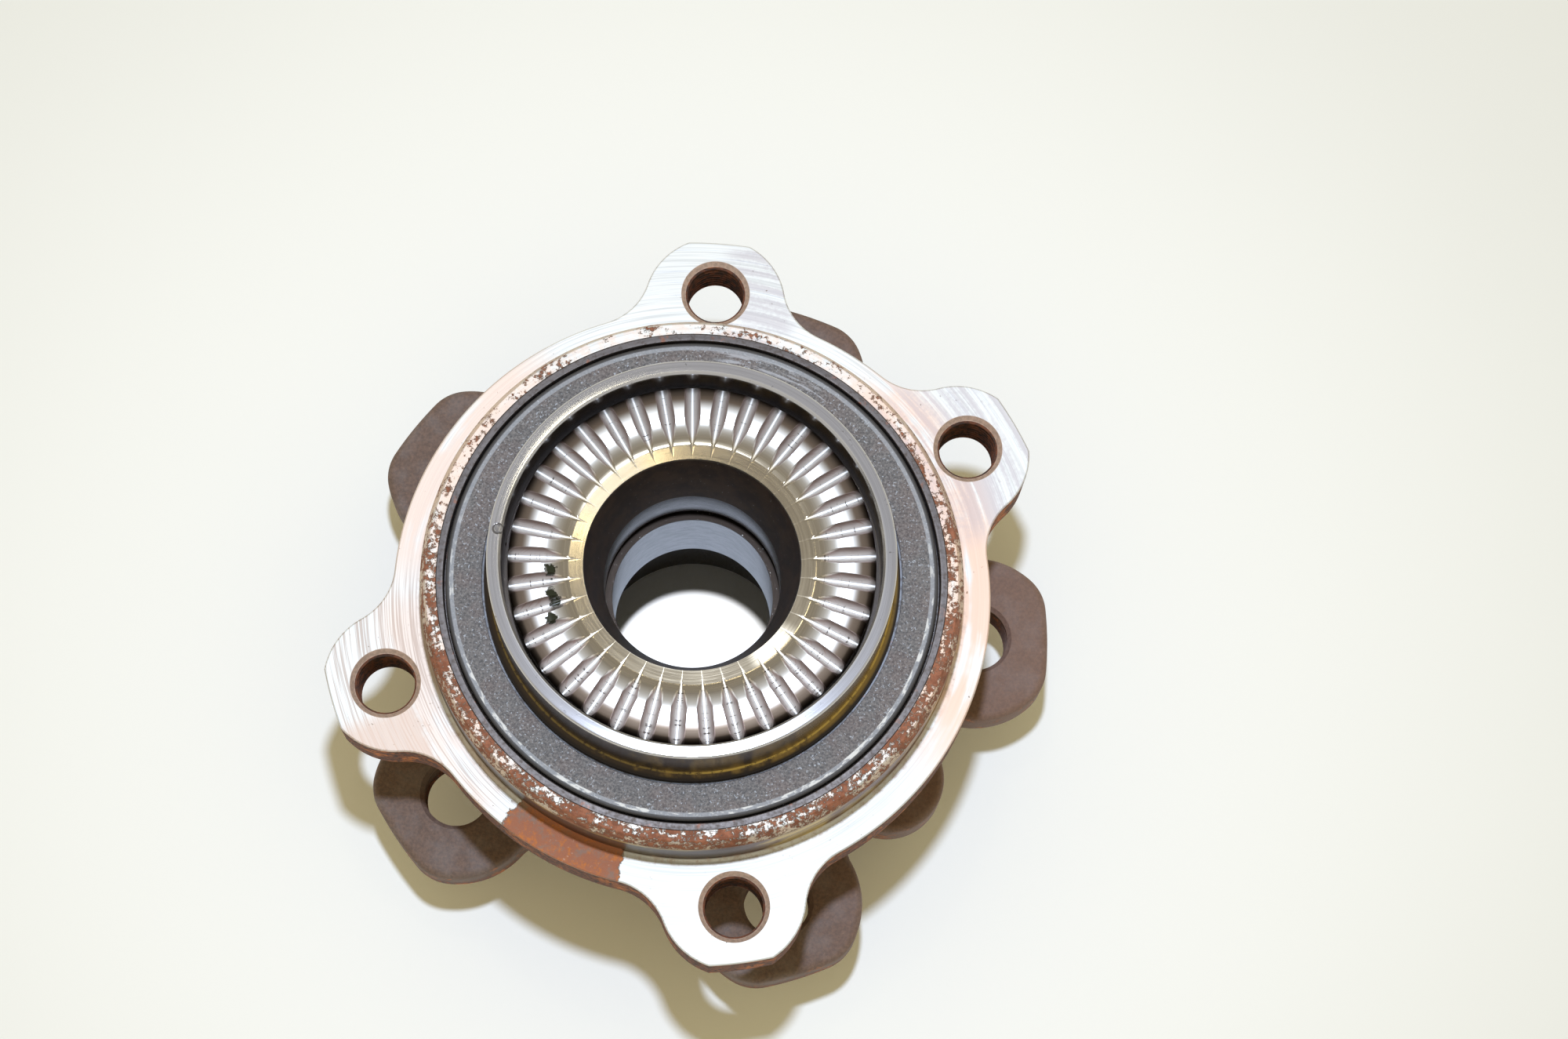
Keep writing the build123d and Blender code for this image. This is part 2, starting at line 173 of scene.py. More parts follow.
class HubColours(bpy.types.PropertyGroup):
    """Finishes."""
    machined: colour("Machined steel", (0.86, 0.85, 0.80), "Turned face of the knuckle flange")
    stained: colour("Stained steel", (0.84, 0.61, 0.47), "Salmon tint on that face")
    blued: colour("Grey marks", (0.50, 0.53, 0.58), "Bluish grey tool marks on that face")
    dulled: colour("Dull patches", (0.50, 0.44, 0.45), "Dull patches on that face")
    rust: colour("Rust", (0.25, 0.090, 0.045), "Red-brown rust")
    fresh_rust: colour("Fresh rust", (0.56, 0.185, 0.05), "Bright orange rust")
    brick: colour("Brick rust", (0.40, 0.155, 0.085), "Red bloom on the rim")
    old_rust: colour("Old rust", (0.060, 0.034, 0.026), "Dark crust in the rust")
    dusty_rust: colour("Dusty rust", (0.27, 0.21, 0.175), "Grey-brown dust in the rust patch")
    oiled: colour("Oiled wall", (0.34, 0.23, 0.075), "Olive-brown oil on the pilot and the skirt")
    gold: colour("Oil streaks", (0.75, 0.55, 0.16), "Golden streaks in the oil film")
    forged: colour("Forged skin", (0.208, 0.134, 0.102), "Purple-brown skin of the wheel flange")
    red_skin: colour("Redder skin", (0.32, 0.175, 0.125), "Redder skin at one side of it")
    annulus: colour("Annulus", (0.455, 0.385, 0.275), "Olive sheen of the collar's flat")
    # The lands' white is a painted highlight on their crowns. It also paints other glints, and
    # bright specks in the bore.
    lands: colour("Spline lands", (0.93, 0.91, 0.86), "Bright crowns between the grooves")
    # The grooves' walls are darker than their roots: painted shade, with a painted highlight along
    # each root.
    grooves: colour("Spline grooves", (0.46, 0.345, 0.30), "Pinkish brown walls of the grooves")
    # The collar edge's brown darkens the lands outwards: painted shade where they fall away.
    bronze_shade: colour("Collar edge", (0.22, 0.165, 0.12), "Brown towards the collar's outside")
    ground: colour("Ground steel", (0.50, 0.50, 0.53), "Blue-grey ground lands and skirt")
    oily_dark: colour("Dark oil", (0.060, 0.040, 0.027), "Dark brown oil, bore and skirt")
    bore_brown: colour("Bore brown", (0.15, 0.092, 0.055), "Brown film between the ground lands")
    grease: colour("Grease", (0.018, 0.021, 0.008), "Grease on the collar")
    encoder: colour("Encoder", (0.140, 0.128, 0.122), "Magnetised rubber ring")
    seal: colour("Seal case", (0.26, 0.245, 0.24), "Mottled thin steel")
    rubber: colour("Rubber", (0.018, 0.018, 0.019), "Seal lips")
    nylon: colour("Nylon", (0.55, 0.46, 0.30), "Glass-filled cages")
    balls: colour("Ball steel", (0.72, 0.72, 0.74), "Polished balls")
    floor: colour("Floor", (0.90, 0.90, 0.875), "Pale floor")
    # The paler floor round the part is a painted pool of light.
    floor_painted_pool: colour("Floor's middle", (0.98, 0.98, 0.96), "Paler floor round the part")
    # The lit floor through the bore is a painted glow, an emission that only the camera sees.
    floor_painted_glow: colour("Lit floor", (0.85, 0.85, 0.85), "Lit floor seen through the bore")


# --- Modelling by operators ---

class Pen:
    """Draws an outline in edit mode. A small plane is merged to one corner, and the line goes on
    from it by extrude and spin."""

    def __init__(self, name, start):
        bpy.ops.object.select_all(action="DESELECT")
        bpy.ops.mesh.primitive_plane_add(size=MM)
        self.piece = bpy.context.object
        self.piece.name = self.piece.data.name = name
        bpy.ops.object.mode_set(mode="EDIT")
        bpy.ops.mesh.select_all(action="SELECT")
        bpy.ops.mesh.merge(type="CENTER")
        bpy.ops.transform.translate(value=start)
        self.at = Vector(start)

    def line(self, *corners):
        for corner in corners:
            step = Vector(corner) - self.at
            bpy.ops.mesh.extrude_vertices_move(TRANSFORM_OT_translate={"value": step})
            self.at = Vector(corner)

    def arc(self, centre, angle, axis, chord):
        """Goes round centre; chord is about the length of one facet."""
        arm = self.at - Vector(centre)
        steps = max(2, ceil(abs(angle) * arm.length / chord))
        bpy.ops.mesh.spin(steps=steps, angle=-angle, center=centre, axis=axis)
        arm.rotate(Quaternion(axis, angle))
        self.at = Vector(centre) + arm

    def join_ends(self):
        bpy.ops.mesh.select_all(action="SELECT")
        bpy.ops.mesh.remove_doubles(threshold=WELD)
        bpy.ops.mesh.select_all(action="SELECT")

    def done(self):
        self.join_ends()
        bpy.ops.mesh.normals_make_consistent(inside=False)
        bpy.ops.mesh.select_all(action="DESELECT")
        bpy.ops.object.mode_set(mode="OBJECT")
        return self.piece


def profile(name, *corners):
    """A pen at the first of some (radius, height) corners, with a line through the others."""
    pen = Pen(name, (corners[0][0], 0, corners[0][1]))
    section_line(pen, *corners[1:])
    return pen


def section_line(pen, *corners):
    pen.line(*[(r, 0, z) for r, z in corners])


def section_arc(pen, centre, angle, chord=0.25 * MM):
    """An arc in the half section; a positive angle turns from the radius towards the axis's up."""
    pen.arc((centre[0], 0, centre[1]), radians(-angle), (0, 1, 0), chord)


def section_arc_to(pen, centre, end, chord=0.25 * MM):
    """The short way round centre to end."""
    start = atan2(pen.at.z - centre[1], pen.at.x - centre[0])
    finish = atan2(end[1] - centre[1], end[0] - centre[0])
    sweep = (finish - start + pi) % tau - pi
    section_arc(pen, centre, degrees(sweep), chord)


def spun(pen, steps, centre=(0, 0, 0)):
    """Closes the half section and spins it all the way round."""
    pen.join_ends()
    bpy.ops.mesh.spin(steps=steps, angle=tau, center=centre, axis=UP)
    return pen.done()


def polar(radius, angle):
    """A place in the plan, its angle in degrees."""
    return Vector((radius * cos(radians(angle)), radius * sin(radians(angle)), 0))


def meet(first, first_r, second, second_r, side):
    """Where two circles in the plan cross; side is 1 left of the way from first to second."""
    way = second - first
    along = (first_r ** 2 - second_r ** 2 + way.length_squared) / (2 * way.length)
    across = sqrt(first_r ** 2 - along ** 2)
    way.normalize()
    return first + along * way + side * across * Vector((-way.y, way.x, 0))


def between(circle, following):
    """Where one circle of an outline hands over to the next. A negative radius is a hollow."""
    (here, here_r), (there, there_r) = circle, following
    way = there - here
    if here_r * there_r >= 0 and abs(here_r) < abs(there_r):
        way = -way
    return here + way.normalized() * abs(here_r)


def lobe(place, side_r, web_r, fillet, tip_r, corner_r):
    """The circles round one lobe: fillet, side, corner and turned tip, and the same way back."""
    hollows, corners = [], []
    for side in (-1, 1):
        hollows.append(meet(MIDDLE, web_r + fillet, place, side_r + fillet, side))
        corners.append(meet(MIDDLE, tip_r - corner_r, place, side_r - corner_r, side))
    return [(hollows[0], -fillet), (place, side_r), (corners[0], corner_r), (MIDDLE, tip_r),
            (corners[1], corner_r), (place, side_r), (hollows[1], -fillet)]


def outline(name, circles, z, chord=0.8 * MM):
    """Draws a closed chain of touching circles anticlockwise, fills it and returns its pen."""
    chain = list(zip(circles, circles[1:] + circles[:1]))
    joints = [between(*pair) for pair in chain]
    pen = Pen(name, joints[-1] + z * UP)
    for (centre, radius), start, end in zip(circles, joints[-1:] + joints[:-1], joints):
        if radius == 0:
            continue
        way = 1 if radius > 0 else -1
        before, after = start - centre, end - centre
        sweep = way * (atan2(after.y, after.x) - atan2(before.y, before.x)) % tau
        pen.arc(centre + z * UP, way * sweep, UP, chord)
    pen.join_ends()
    bpy.ops.mesh.edge_face_add()
    return pen


def slab(pen, low_z, high_z, low_break, high_break):
    """Extrudes a filled outline down from high_z and rounds the edges of both faces."""
    bpy.ops.mesh.extrude_region_move(TRANSFORM_OT_translate={"value": (low_z - high_z) * UP})
    bpy.ops.mesh.select_mode(type="EDGE")
    for z, width in ((high_z, high_break), (low_z, low_break)):
        pick_edges(pen.piece, lambda place: abs(place.z - z) < WELD)
        bpy.ops.mesh.bevel(offset=width, offset_type="OFFSET", segments=3, affect="EDGES",
                           clamp_overlap=False)
    bpy.ops.mesh.select_mode(type="VERT")
    return pen.done()


def pick_edges(piece, test):
    """In edit mode, selects the edges whose two ends pass a test on their place."""
    mesh = bmesh.from_edit_mesh(piece.data)
    for edge in mesh.edges:
        edge.select_set(all(test(end.co) for end in edge.verts))
    mesh.select_flush_mode()
    bmesh.update_edit_mesh(piece.data)


def only(piece):
    """Makes a piece the one selected and active object."""
    bpy.ops.object.select_all(action="DESELECT")
    piece.select_set(True)
    bpy.context.view_layer.objects.active = piece


def combine(piece, other, operation):
    """Adds other to piece, or cuts it out, and removes other."""
    only(piece)
    bpy.ops.object.modifier_add(type="BOOLEAN")
    modifier = piece.modifiers[-1]
    modifier.operation = operation
    modifier.solver = "EXACT"
    modifier.object = other
    bpy.ops.object.modifier_apply(modifier=modifier.name)
    bpy.data.objects.remove(other)


def copied(piece, turns):
    """Copies a piece round Z, one copy for each angle in degrees, and joins them to it."""
    copies = [piece]
    for angle in turns[1:]:
        only(piece)
        bpy.ops.object.duplicate()
        copy = bpy.context.object
        bpy.ops.transform.rotate(value=radians(turns[0] - angle), orient_axis="Z",
                                 center_override=(0, 0, 0))
        copies.append(copy)
    bpy.ops.object.select_all(action="DESELECT")
    for copy in copies:
        copy.select_set(True)
    bpy.context.view_layer.objects.active = piece
    bpy.ops.object.join()
    bpy.ops.object.transform_apply()
    return piece


def threaded_cutter(name, place, core_r, low_z, high_z, low_sink, high_sink, pitch=1.25 * MM):
    """A cutter for a tapped hole: countersunk mouths and the thread's grooves between them."""
    over = 1.0 * MM
    depth = 0.55 * pitch
    pen = Pen(name, place + (low_z - over) * UP)
    x = place.x

    def out(*corners):
        pen.line(*[(x + r, place.y, z) for r, z in corners])

    out((core_r + low_sink + over, low_z - over), (core_r, low_z + low_sink))
    z = low_z + low_sink + pitch / 4
    while z + pitch < high_z - high_sink:
        out((core_r, z), (core_r + depth, z + 0.42 * pitch), (core_r + depth, z + 0.5 * pitch),
            (core_r, z + 0.92 * pitch))
        z += pitch
    out((core_r, high_z - high_sink), (core_r + high_sink + over, high_z + over),
        (0, high_z + over))
    return spun(pen, HOLE_STEPS, place)


def tap(piece, name, place, core_r, low_z, high_z, low_sink, high_sink):
    """Cuts a tapped hole right through a flange."""
    cutter = threaded_cutter(name, place, core_r, low_z, high_z, low_sink, high_sink)
    combine(piece, cutter, "DIFFERENCE")


def bore_out(flange, radius, low_z, high_z, steps):
    """Cuts the middle out of a flange."""
    cutter = profile("flange_bore", (0, low_z), (radius, low_z), (radius, high_z), (0, high_z))
    combine(flange, spun(cutter, steps), "DIFFERENCE")


def finished(piece, node, body, finish):
    """Shades a piece, gives it its finish and hands it to the body that it turns with."""
    only(piece)
    bpy.ops.object.mode_set(mode="EDIT")
    bpy.ops.mesh.select_all(action="SELECT")
    bpy.ops.mesh.remove_doubles(threshold=WELD)
    bpy.ops.mesh.fill_holes(sides=8)    # a boolean can drop a sliver
    bpy.ops.object.mode_set(mode="OBJECT")
    bpy.ops.object.shade_smooth_by_angle(angle=SMOOTH)
    bpy.ops.object.modifier_add(type="WEIGHTED_NORMAL")
    modifier = piece.modifiers[-1]
    modifier.keep_sharp = True
    bpy.ops.object.modifier_apply(modifier=modifier.name)
    piece.data.materials.clear()
    piece.data.materials.append(finish)
    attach(piece, body)
    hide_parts(node)


# --- Finishes ---

# Places in the plan, in millimetres: a punch mark on the skirt's top, grease on the collar, and
# the middle of the painted glow on the floor that shows through the bore
PUNCH_MARK = (-34.95, 4.4)
GREASE = ((-25.5, -2.0), (-25.3, -6.3), (-25.0, -11.0), (-24.6, -7.3))
BORE_PAINTED_GLOW = (0.3, -3.0)


def toned(tint, share):
    """A colour made darker, or lighter with a share over 1."""
    return [share * v for v in tint]


class Wire:
    """A node's output. Python's operators on it add Math nodes."""

    def __init__(self, finish, socket):
        self.finish = finish
        self.socket = socket

    def math(self, operation, *values):
        return self.finish.node("Math", {"operation": operation}, values)

    def __add__(self, other):
        return self.math("ADD", self, other)

    def __sub__(self, other):
        return self.math("SUBTRACT", self, other)

    def __rsub__(self, other):
        return self.math("SUBTRACT", other, self)

    def __mul__(self, other):
        return self.math("MULTIPLY", self, other)

    def __truediv__(self, other):
        return self.math("DIVIDE", self, other)

    def __rtruediv__(self, other):
        return self.math("DIVIDE", other, self)

    def __abs__(self):
        return self.math("ABSOLUTE", self)

    __radd__ = __add__
    __rmul__ = __mul__


class Finish:
    """A material's shader and the nodes that lead to it. Places are in millimetres."""

    def __init__(self, name):
        self.material = bpy.data.materials.new(name)
        self.material.use_nodes = True
        self.tree = self.material.node_tree
        self.shader = self.tree.nodes["Principled BSDF"]
        local = self.node("TexCoord", {}, {}, "Object")
        self.place = self.node("VectorMath", {"operation": "SCALE"}, {0: local, "Scale": 1 / MM})
        self.x, self.y, self.z = (self.node("SeparateXYZ", {}, [self.place], axis)
                                  for axis in "XYZ")
        flat = self.node("VectorMath", {"operation": "MULTIPLY"}, {0: self.place, 1: (1, 1, 0)})
        self.r = self.node("VectorMath", {"operation": "LENGTH"}, [flat], "Value")
        self.angle = self.node("Math", {"operation": "ARCTAN2"}, [self.y, self.x])

    def node(self, kind, settings, values, output=0):
        """Adds any node. Its settings come first, then the values or wires of its sockets."""
        node = self.tree.nodes.new("ShaderNode" + kind)
        for name, setting in settings.items():
            setattr(node, name, setting)
        for socket, value in values.items() if isinstance(values, dict) else enumerate(values):
            if isinstance(value, Wire):
                self.tree.links.new(value.socket, node.inputs[socket])
            else:
                node.inputs[socket].default_value = value
        return Wire(self, node.outputs[output])

    def noise(self, size, detail=4.0, roughness=0.6, vector=None):
        """Grain from 0 to 1 whose coarsest lumps are about size across."""
        return self.node("TexNoise", {}, {"Vector": vector or self.place, "Scale": 1 / size,
                                          "Detail": detail, "Roughness": roughness})

    def stretched(self, per_mm, detail):
        """Grain with its own number of lumps in a millimetre along X, Y and Z."""
        vector = self.node("VectorMath", {"operation": "MULTIPLY"}, {0: self.place, 1: per_mm})
        return self.noise(1, detail, vector=vector)

    def turned(self, length, width, detail=3.0):
        """Marks that run round the axis, length long at a radius of 40 mm."""
        around = 40 / length / self.r
        across = (self.r + self.z) / width
        vector = self.node("CombineXYZ", {}, [self.x * around, self.y * around, across])
        return self.noise(1, detail, vector=vector)

    def step(self, value, low, high):
        """0 up to low and 1 from high on; low may be the greater."""
        return self.node("MapRange", {"interpolation_type": "SMOOTHSTEP"}, [value, low, high, 0, 1])

    def within(self, value, low, high, soft=0.1):
        """1 from low to high, falling to 0 over soft on both sides."""
        return self.step(value, low - soft, low) * self.step(value, high + soft, high)

    def sector(self, angle, half, soft=8):
        """1 within half of an angle round the axis, both in degrees."""
        along = self.node("Math", {"operation": "COSINE"}, [self.angle - radians(angle)])
        return self.step(along, cos(radians(half + soft)), cos(radians(half)))

    def away(self, x, y):
        """Distance from a place in the plan."""
        return self.node("VectorMath", {"operation": "DISTANCE"}, {
            0: self.node("CombineXYZ", {}, [self.x, self.y, 0]), 1: (x, y, 0)}, "Value")

    def nearest(self, places):
        """Distance from the nearest of some places in the plan."""
        best, *others = [self.away(x, y) for x, y in places]
        for other in others:
            best = best.math("MINIMUM", best, other)
        return best

    def either(self, first, second):
        return first.math("MAXIMUM", first, second)

    def mix(self, amount, first, second):
        """A colour between two colours."""
        first, second = (c if isinstance(c, Wire) else (*c, 1) for c in (first, second))
        return self.node("Mix", {"data_type": "RGBA"}, {0: amount, 6: first, 7: second}, 2)

    def bump(self, height, depth, normal=None):
        """Relief whose full height is depth millimetres."""
        values = {"Height": height, "Distance": depth * MM, "Strength": 1.0}
        if normal:
            values["Normal"] = normal
        return self.node("Bump", {}, values)

    def done(self, base, metallic, roughness, normal, glow=None, **constants):
        """Feeds the shader and gives the material."""
        feeds = {"Base Color": base, "Metallic": metallic, "Roughness": roughness,
                 "Normal": normal, "Emission Color": glow}
        for name, value in feeds.items():
            if isinstance(value, Wire):
                self.tree.links.new(value.socket, self.shader.inputs[name])
            elif value is not None:
                self.shader.inputs[name].default_value = value
        for name, value in constants.items():
            self.shader.inputs[name.replace("_", " ")].default_value = value
        return self.material


def rusted(f, c, fine, lumps):
    """Rust: red-brown, orange where it is fresh, with dark crust."""
    skin = f.mix(f.step(fine, 0.38, 0.62), c.old_rust, c.rust)
    return f.mix(f.step(lumps, 0.50, 0.66) * f.step(fine, 0.36, 0.54), skin, c.fresh_rust)


def ring_finish(c, s, ears):
    """Turned face, spotted rim, oiled pilot and rusty sides of the outer ring."""
    f = Finish("ring_finish")
    face_z, rim_z, pilot_r = s.face_z / MM, s.rim_z / MM, s.pilot_r / MM
    under_z = face_z - s.flange_t / MM
    fine, lumps, broad = f.noise(0.7, 6), f.noise(5.0), f.noise(16.0, 3)
    marks, bands = f.turned(16, 0.30), f.turned(24, 1.6)
    hole = f.nearest([(x / MM, y / MM) for x, y, _ in ears])
    spots = f.noise(1.7, 6, 0.7)

    # Turned face: tool marks, salmon tints, dull patches
    steel = f.mix(f.step(marks, 0.30, 0.62), toned(c.machined, 0.72), c.machined)
    steel = f.mix(f.step(marks, 0.52, 0.74) * f.step(f.r, 56.5, 59) * 0.6, steel, c.blued)
    tint = f.either(f.sector(8, 30, 22), f.sector(150, 18, 16) * 0.65)
    tint = f.either(tint, f.sector(205, 18, 10) * 0.5)
    tint = tint * f.step(broad + bands, 0.78, 1.06) * f.step(f.r, 62, 55)
    steel = f.mix(tint, steel, c.stained)
    streaks = f.step(marks, 0.52, 0.38) * f.sector(204, 20, 10) * 0.6
    steel = f.mix(streaks, steel, toned(c.stained, 0.55))
    dull = f.either(f.sector(30, 13, 8), f.sector(78, 4, 5))
    dull = dull * f.step(bands + fine * 0.3, 0.54, 0.76)
    steel = f.mix(dull * 0.55, steel, c.dulled)
    speckle = f.step(fine, 0.68, 0.74) * f.step(lumps, 0.50, 0.62)

    # Oiled wall of the pilot, and the spotted rim above it
    wall = f.within(f.z, face_z + 0.7, rim_z - 2.5, 0.5)
    oil = f.mix(f.step(f.turned(14, 0.8), 0.44, 0.70), c.oiled, c.gold)
    oil = f.mix(f.step(broad, 0.44, 0.58), oil, toned(c.rust, 0.5))
    grime = f.sector(238, 36, 16) * f.step(f.z, rim_z - 2.4, rim_z - 4.4)
    grime = grime * f.step(spots, 0.20, 0.45)
    oil = f.mix(grime * 0.9, oil, toned(c.old_rust, 0.7))
    steel = f.mix(wall * f.step(f.y, 40, 6), steel, oil)
    rim = f.step(f.z, rim_z - 2.6, rim_z - 2.2)
    bevel = rim * f.step(f.z, rim_z - 0.3, rim_z - 0.5)
    steel = f.mix(bevel * 0.5, steel, f.mix(fine, c.oiled, c.stained))
    steel = f.mix(rim * f.step(spots, 0.38, 0.60) * 0.5, steel, c.stained)

    # Where it is rusty: the rim's bloom, the sides, the underside, a patch and specks on the face
    patches = f.turned(5, 2.2, 5)
    lower = f.step(f.y, 44, -30)
    dots = f.noise(0.9, 6, 0.75)
    bloom = rim * f.step(patches * 0.5 + dots * 0.7 + lower * 0.10, 0.645, 0.71)
    outside = f.step(f.r, pilot_r + 0.2, pilot_r + 0.6)
    rust = f.either(bloom, outside * f.step(f.z, face_z - 0.15, face_z - 0.5))
    rust = f.either(rust, f.step(f.z, under_z + 0.5, under_z))
    level = f.within(f.z, face_z - 0.2, face_z + 0.9)
    patch = level * f.step(f.sector(244.5, 10.0, 4) + (spots - 0.5) * 1.4, 0.42, 0.56)
    rust = f.either(rust, patch)
    seam = f.step(f.r, pilot_r + 2.0, pilot_r + 1.0) * f.step(f.y, 30, -20)
    steel = f.mix(level * seam * f.step(spots, 0.46, 0.66) * 0.6, steel, toned(c.stained, 0.6))
    stain = f.sector(216, 11, 4) * f.step(f.r + (lumps - 0.5) * 6, 55.0, 57.5)
    steel = f.mix(level * stain * 0.7, steel, toned(c.stained, 0.8))
    rust = f.either(rust, level * speckle * 0.8)

    # Countersinks and threads of the ears
    hole_r = s.ear_hole_r / MM
    mouth_r = hole_r + s.ear_countersink / MM
    sink = f.step(hole, mouth_r + 0.1, mouth_r - 0.1)
    steel = f.mix(sink, steel, f.mix(f.step(fine, 0.4, 0.6), toned(c.stained, 0.62),
                                     toned(c.stained, 0.8)))
    inside = f.step(hole, hole_r + 0.95, hole_r + 0.75) * f.step(f.z, face_z - 0.7, face_z - 1.1)
    bore = f.mix(f.step(spots, 0.4, 0.6), c.old_rust, toned(c.rust, 0.8))
    rust = f.either(rust * f.step(sink - inside, 0.9, 0.6), inside)

    # What colour the rust is
    crust = rusted(f, c, f.noise(0.9, 5, 0.65), lumps)
    crust = f.mix(bloom, crust, f.mix(f.step(spots, 0.40, 0.62), c.rust, c.brick))
    orange = f.sector(243, 4, 6) * f.step(f.r, 54.5, 57) * 0.5
    bright = f.mix(f.step(spots + orange * 0.3, 0.50, 0.66), c.brick, c.fresh_rust)
    bright = f.mix(f.step(dots, 0.60, 0.70) * 0.5, bright, c.stained)
    bright = f.mix(f.step(f.noise(3.2, 5, 0.7), 0.50, 0.68) * 0.7, bright, c.dusty_rust)
    crust = f.mix(patch, crust, bright)
    crust = f.mix(inside, crust, bore)
    base = f.mix(rust, steel, crust)
    metallic = 0.45 - rust * 0.40
    roughness = 0.58 + rust * 0.22 + (marks - 0.5) * 0.15 - wall * 0.25
    normal = f.bump(fine * rust + spots * rust, 0.16, f.bump(marks * (1 - rust), 0.012))
    return f.done(base, metallic, roughness, normal)


def hub_finish(c, s):
    """Forged wheel flange, splined collar and oily bore, with painted light and shade on the spline
    and in the bore.
    """
    f = Finish("hub_finish")
    fine, lumps = f.noise(0.6, 6), f.noise(4.0)
    marks = f.turned(20, 0.35)

    # Collar: annulus, lands and grooves of the spline with painted highlight and shade, dark marks
    # and grease
    pitch = tau / SPLINE_TEETH
    turned_to = f.angle - s.spline_phase + pitch * (SPLINE_TEETH + 0.5)
    share = f.node("Math", {"operation": "FRACT"}, [turned_to / pitch])
    across = abs(share - 0.5) * pitch * f.r
    half = f.node("MapRange", {}, [f.r, GROOVE_START_R / MM, 27.0, 0.0, 1.45])
    groove = f.step(across - half, 0.10, -0.10)
    # The lands' crowns are painted white, a painted highlight, and turn brown outwards, painted
    # shade where the domed lands fall away.
    crown_highlight = f.step(f.r, 23.2, 27.2)
    foot = f.step(f.r, 22.6, 23.5)
    glow = f.either(f.sector(135, 8, 22), f.sector(315, 4, 12) * 0.7)
    flat = f.mix(f.step(marks, 0.35, 0.65), toned(c.annulus, 0.86), c.annulus)
    land = f.mix(crown_highlight, flat, c.lands)
    land = f.mix(f.step(f.r, 28.8, 31.0), land, c.bronze_shade)
    # Grooves: a painted highlight along the root and painted shade on the walls, with rust marks.
    shaded_trough = f.mix(f.step(across / (half + 0.25), 0.10, 0.80), toned(c.lands, 0.72),
                   toned(c.grooves, 0.72))
    shaded_trough = f.mix(f.step(f.r, 25.0, 23.0), shaded_trough, c.annulus)
    shaded_trough = f.mix(f.step(marks, 0.56, 0.72) * f.step(across, 0.5, 0.9) * 0.5, shaded_trough, c.rust)
    collar = f.mix(groove, land, shaded_trough)
    tooth = f.node("Math", {"operation": "FLOOR"}, [turned_to / pitch])
    ticks = f.noise(1, 2, vector=f.node("CombineXYZ", {}, [f.r * 2.6, across * 0.5, tooth * 7.3]))
    ticks = f.step(ticks + f.y * -0.0012, 0.625, 0.665) * f.step(across, 0.75, 0.45) * groove
    collar = f.mix(ticks * 0.85, collar, c.oily_dark)
    # Near black at the collar's outside: dark oil, and painted shade where the lands fall away.
    collar = f.mix(f.step(f.r, 32.1, 33.3) * (1 - groove * 0.5), collar, c.oily_dark)
    grease = f.step(f.nearest(GREASE) + (f.noise(0.9) - 0.5) * 2.6, 1.15, 0.75)
    collar = f.mix(grease, collar, c.grease)

    seat_z = COLLAR_SEAT_Z / MM
    top = f.step(f.z, seat_z - 1.0, seat_z - 0.2)
    # Bore: two ground lands with a dark film round them, near black further down as painted shade
    bore = f.step(f.r, s.joint_r / MM + 3.45, s.joint_r / MM + 3.2)
    lower_land = f.within(f.z, BORE_LOW_Z / MM + 0.2, BORE_HIGH_Z / MM - 0.4, 0.15)
    upper_land = f.within(f.z, JOINT_LOW_Z / MM + 0.6, JOINT_HIGH_Z / MM - 0.8, 0.5)
    polish = f.turned(6, 0.9)
    shine = f.mix(f.step(polish, 0.3, 0.7), toned(c.ground, 0.72), c.ground)
    shine = f.mix(upper_land * 0.25, shine, c.oily_dark)
    specks = f.step(f.noise(0.45, 2), 0.70, 0.74)
    dark = f.mix(f.step(lumps, 0.35, 0.65), toned(c.oily_dark, 1.6), c.bore_brown)
    # Near black from 50 mm down: painted shade deep in the bore, over the brown film.
    dark = f.mix(f.step(f.z, 50, 41), dark, toned(c.oily_dark, 0.3))
    dark = f.mix(specks * 0.45, dark, c.lands)
    lands = f.either(lower_land, upper_land)
    inside = f.mix(lands, dark, shine)

    # Forged skin, rusty at its root and edges, and the turned side that faces the wheel
    skin = f.mix(f.step(fine, 0.30, 0.70), toned(c.forged, 0.62), c.forged)
    skin = f.mix(f.step(f.noise(1.1, 5, 0.7), 0.60, 0.72) * 0.4, skin, toned(c.forged, 1.7))
    skin = f.mix(f.step(f.noise(6.0, 3), 0.40, 0.68) * 0.14, skin, toned(c.blued, 0.70))
    # Lighter and redder towards +X.
    skin = f.mix(f.step(f.x, 10, 60) * 0.3, skin, c.red_skin)
    edge = f.either(f.sector(216, 17, 4), f.sector(288, 19, 4)) * f.step(f.z, 6.0, 3.0)
    edge = edge * f.step(lumps + fine, 0.76, 0.96)
    root = f.step(f.r, 52, 47) * f.step(f.noise(3.0), 0.42, 0.58) * 0.8
    rusty = f.either(f.either(edge, root), f.step(lumps, 0.52, 0.66) * f.step(f.z, 9.4, 8.6) * 0.6)
    skin = f.mix(rusty, skin, rusted(f, c, fine, lumps))
    below = f.step(f.z, 0.5, 0.1)
    plate = f.mix(f.step(marks, 0.35, 0.65), toned(c.machined, 0.5), toned(c.machined, 0.7))
    plate = f.mix(f.step(f.noise(7.0) + fine * 0.3, 0.62, 0.74), plate, c.rust)
    outside = f.mix(below, skin, f.mix(f.step(f.r, 29, 28), plate, toned(c.oily_dark, 0.5)))
    neck = f.step(f.r, s.face_r / MM + 0.2, s.face_r / MM - 0.1) * (1 - below)
    outside = f.mix(neck, outside, shine)

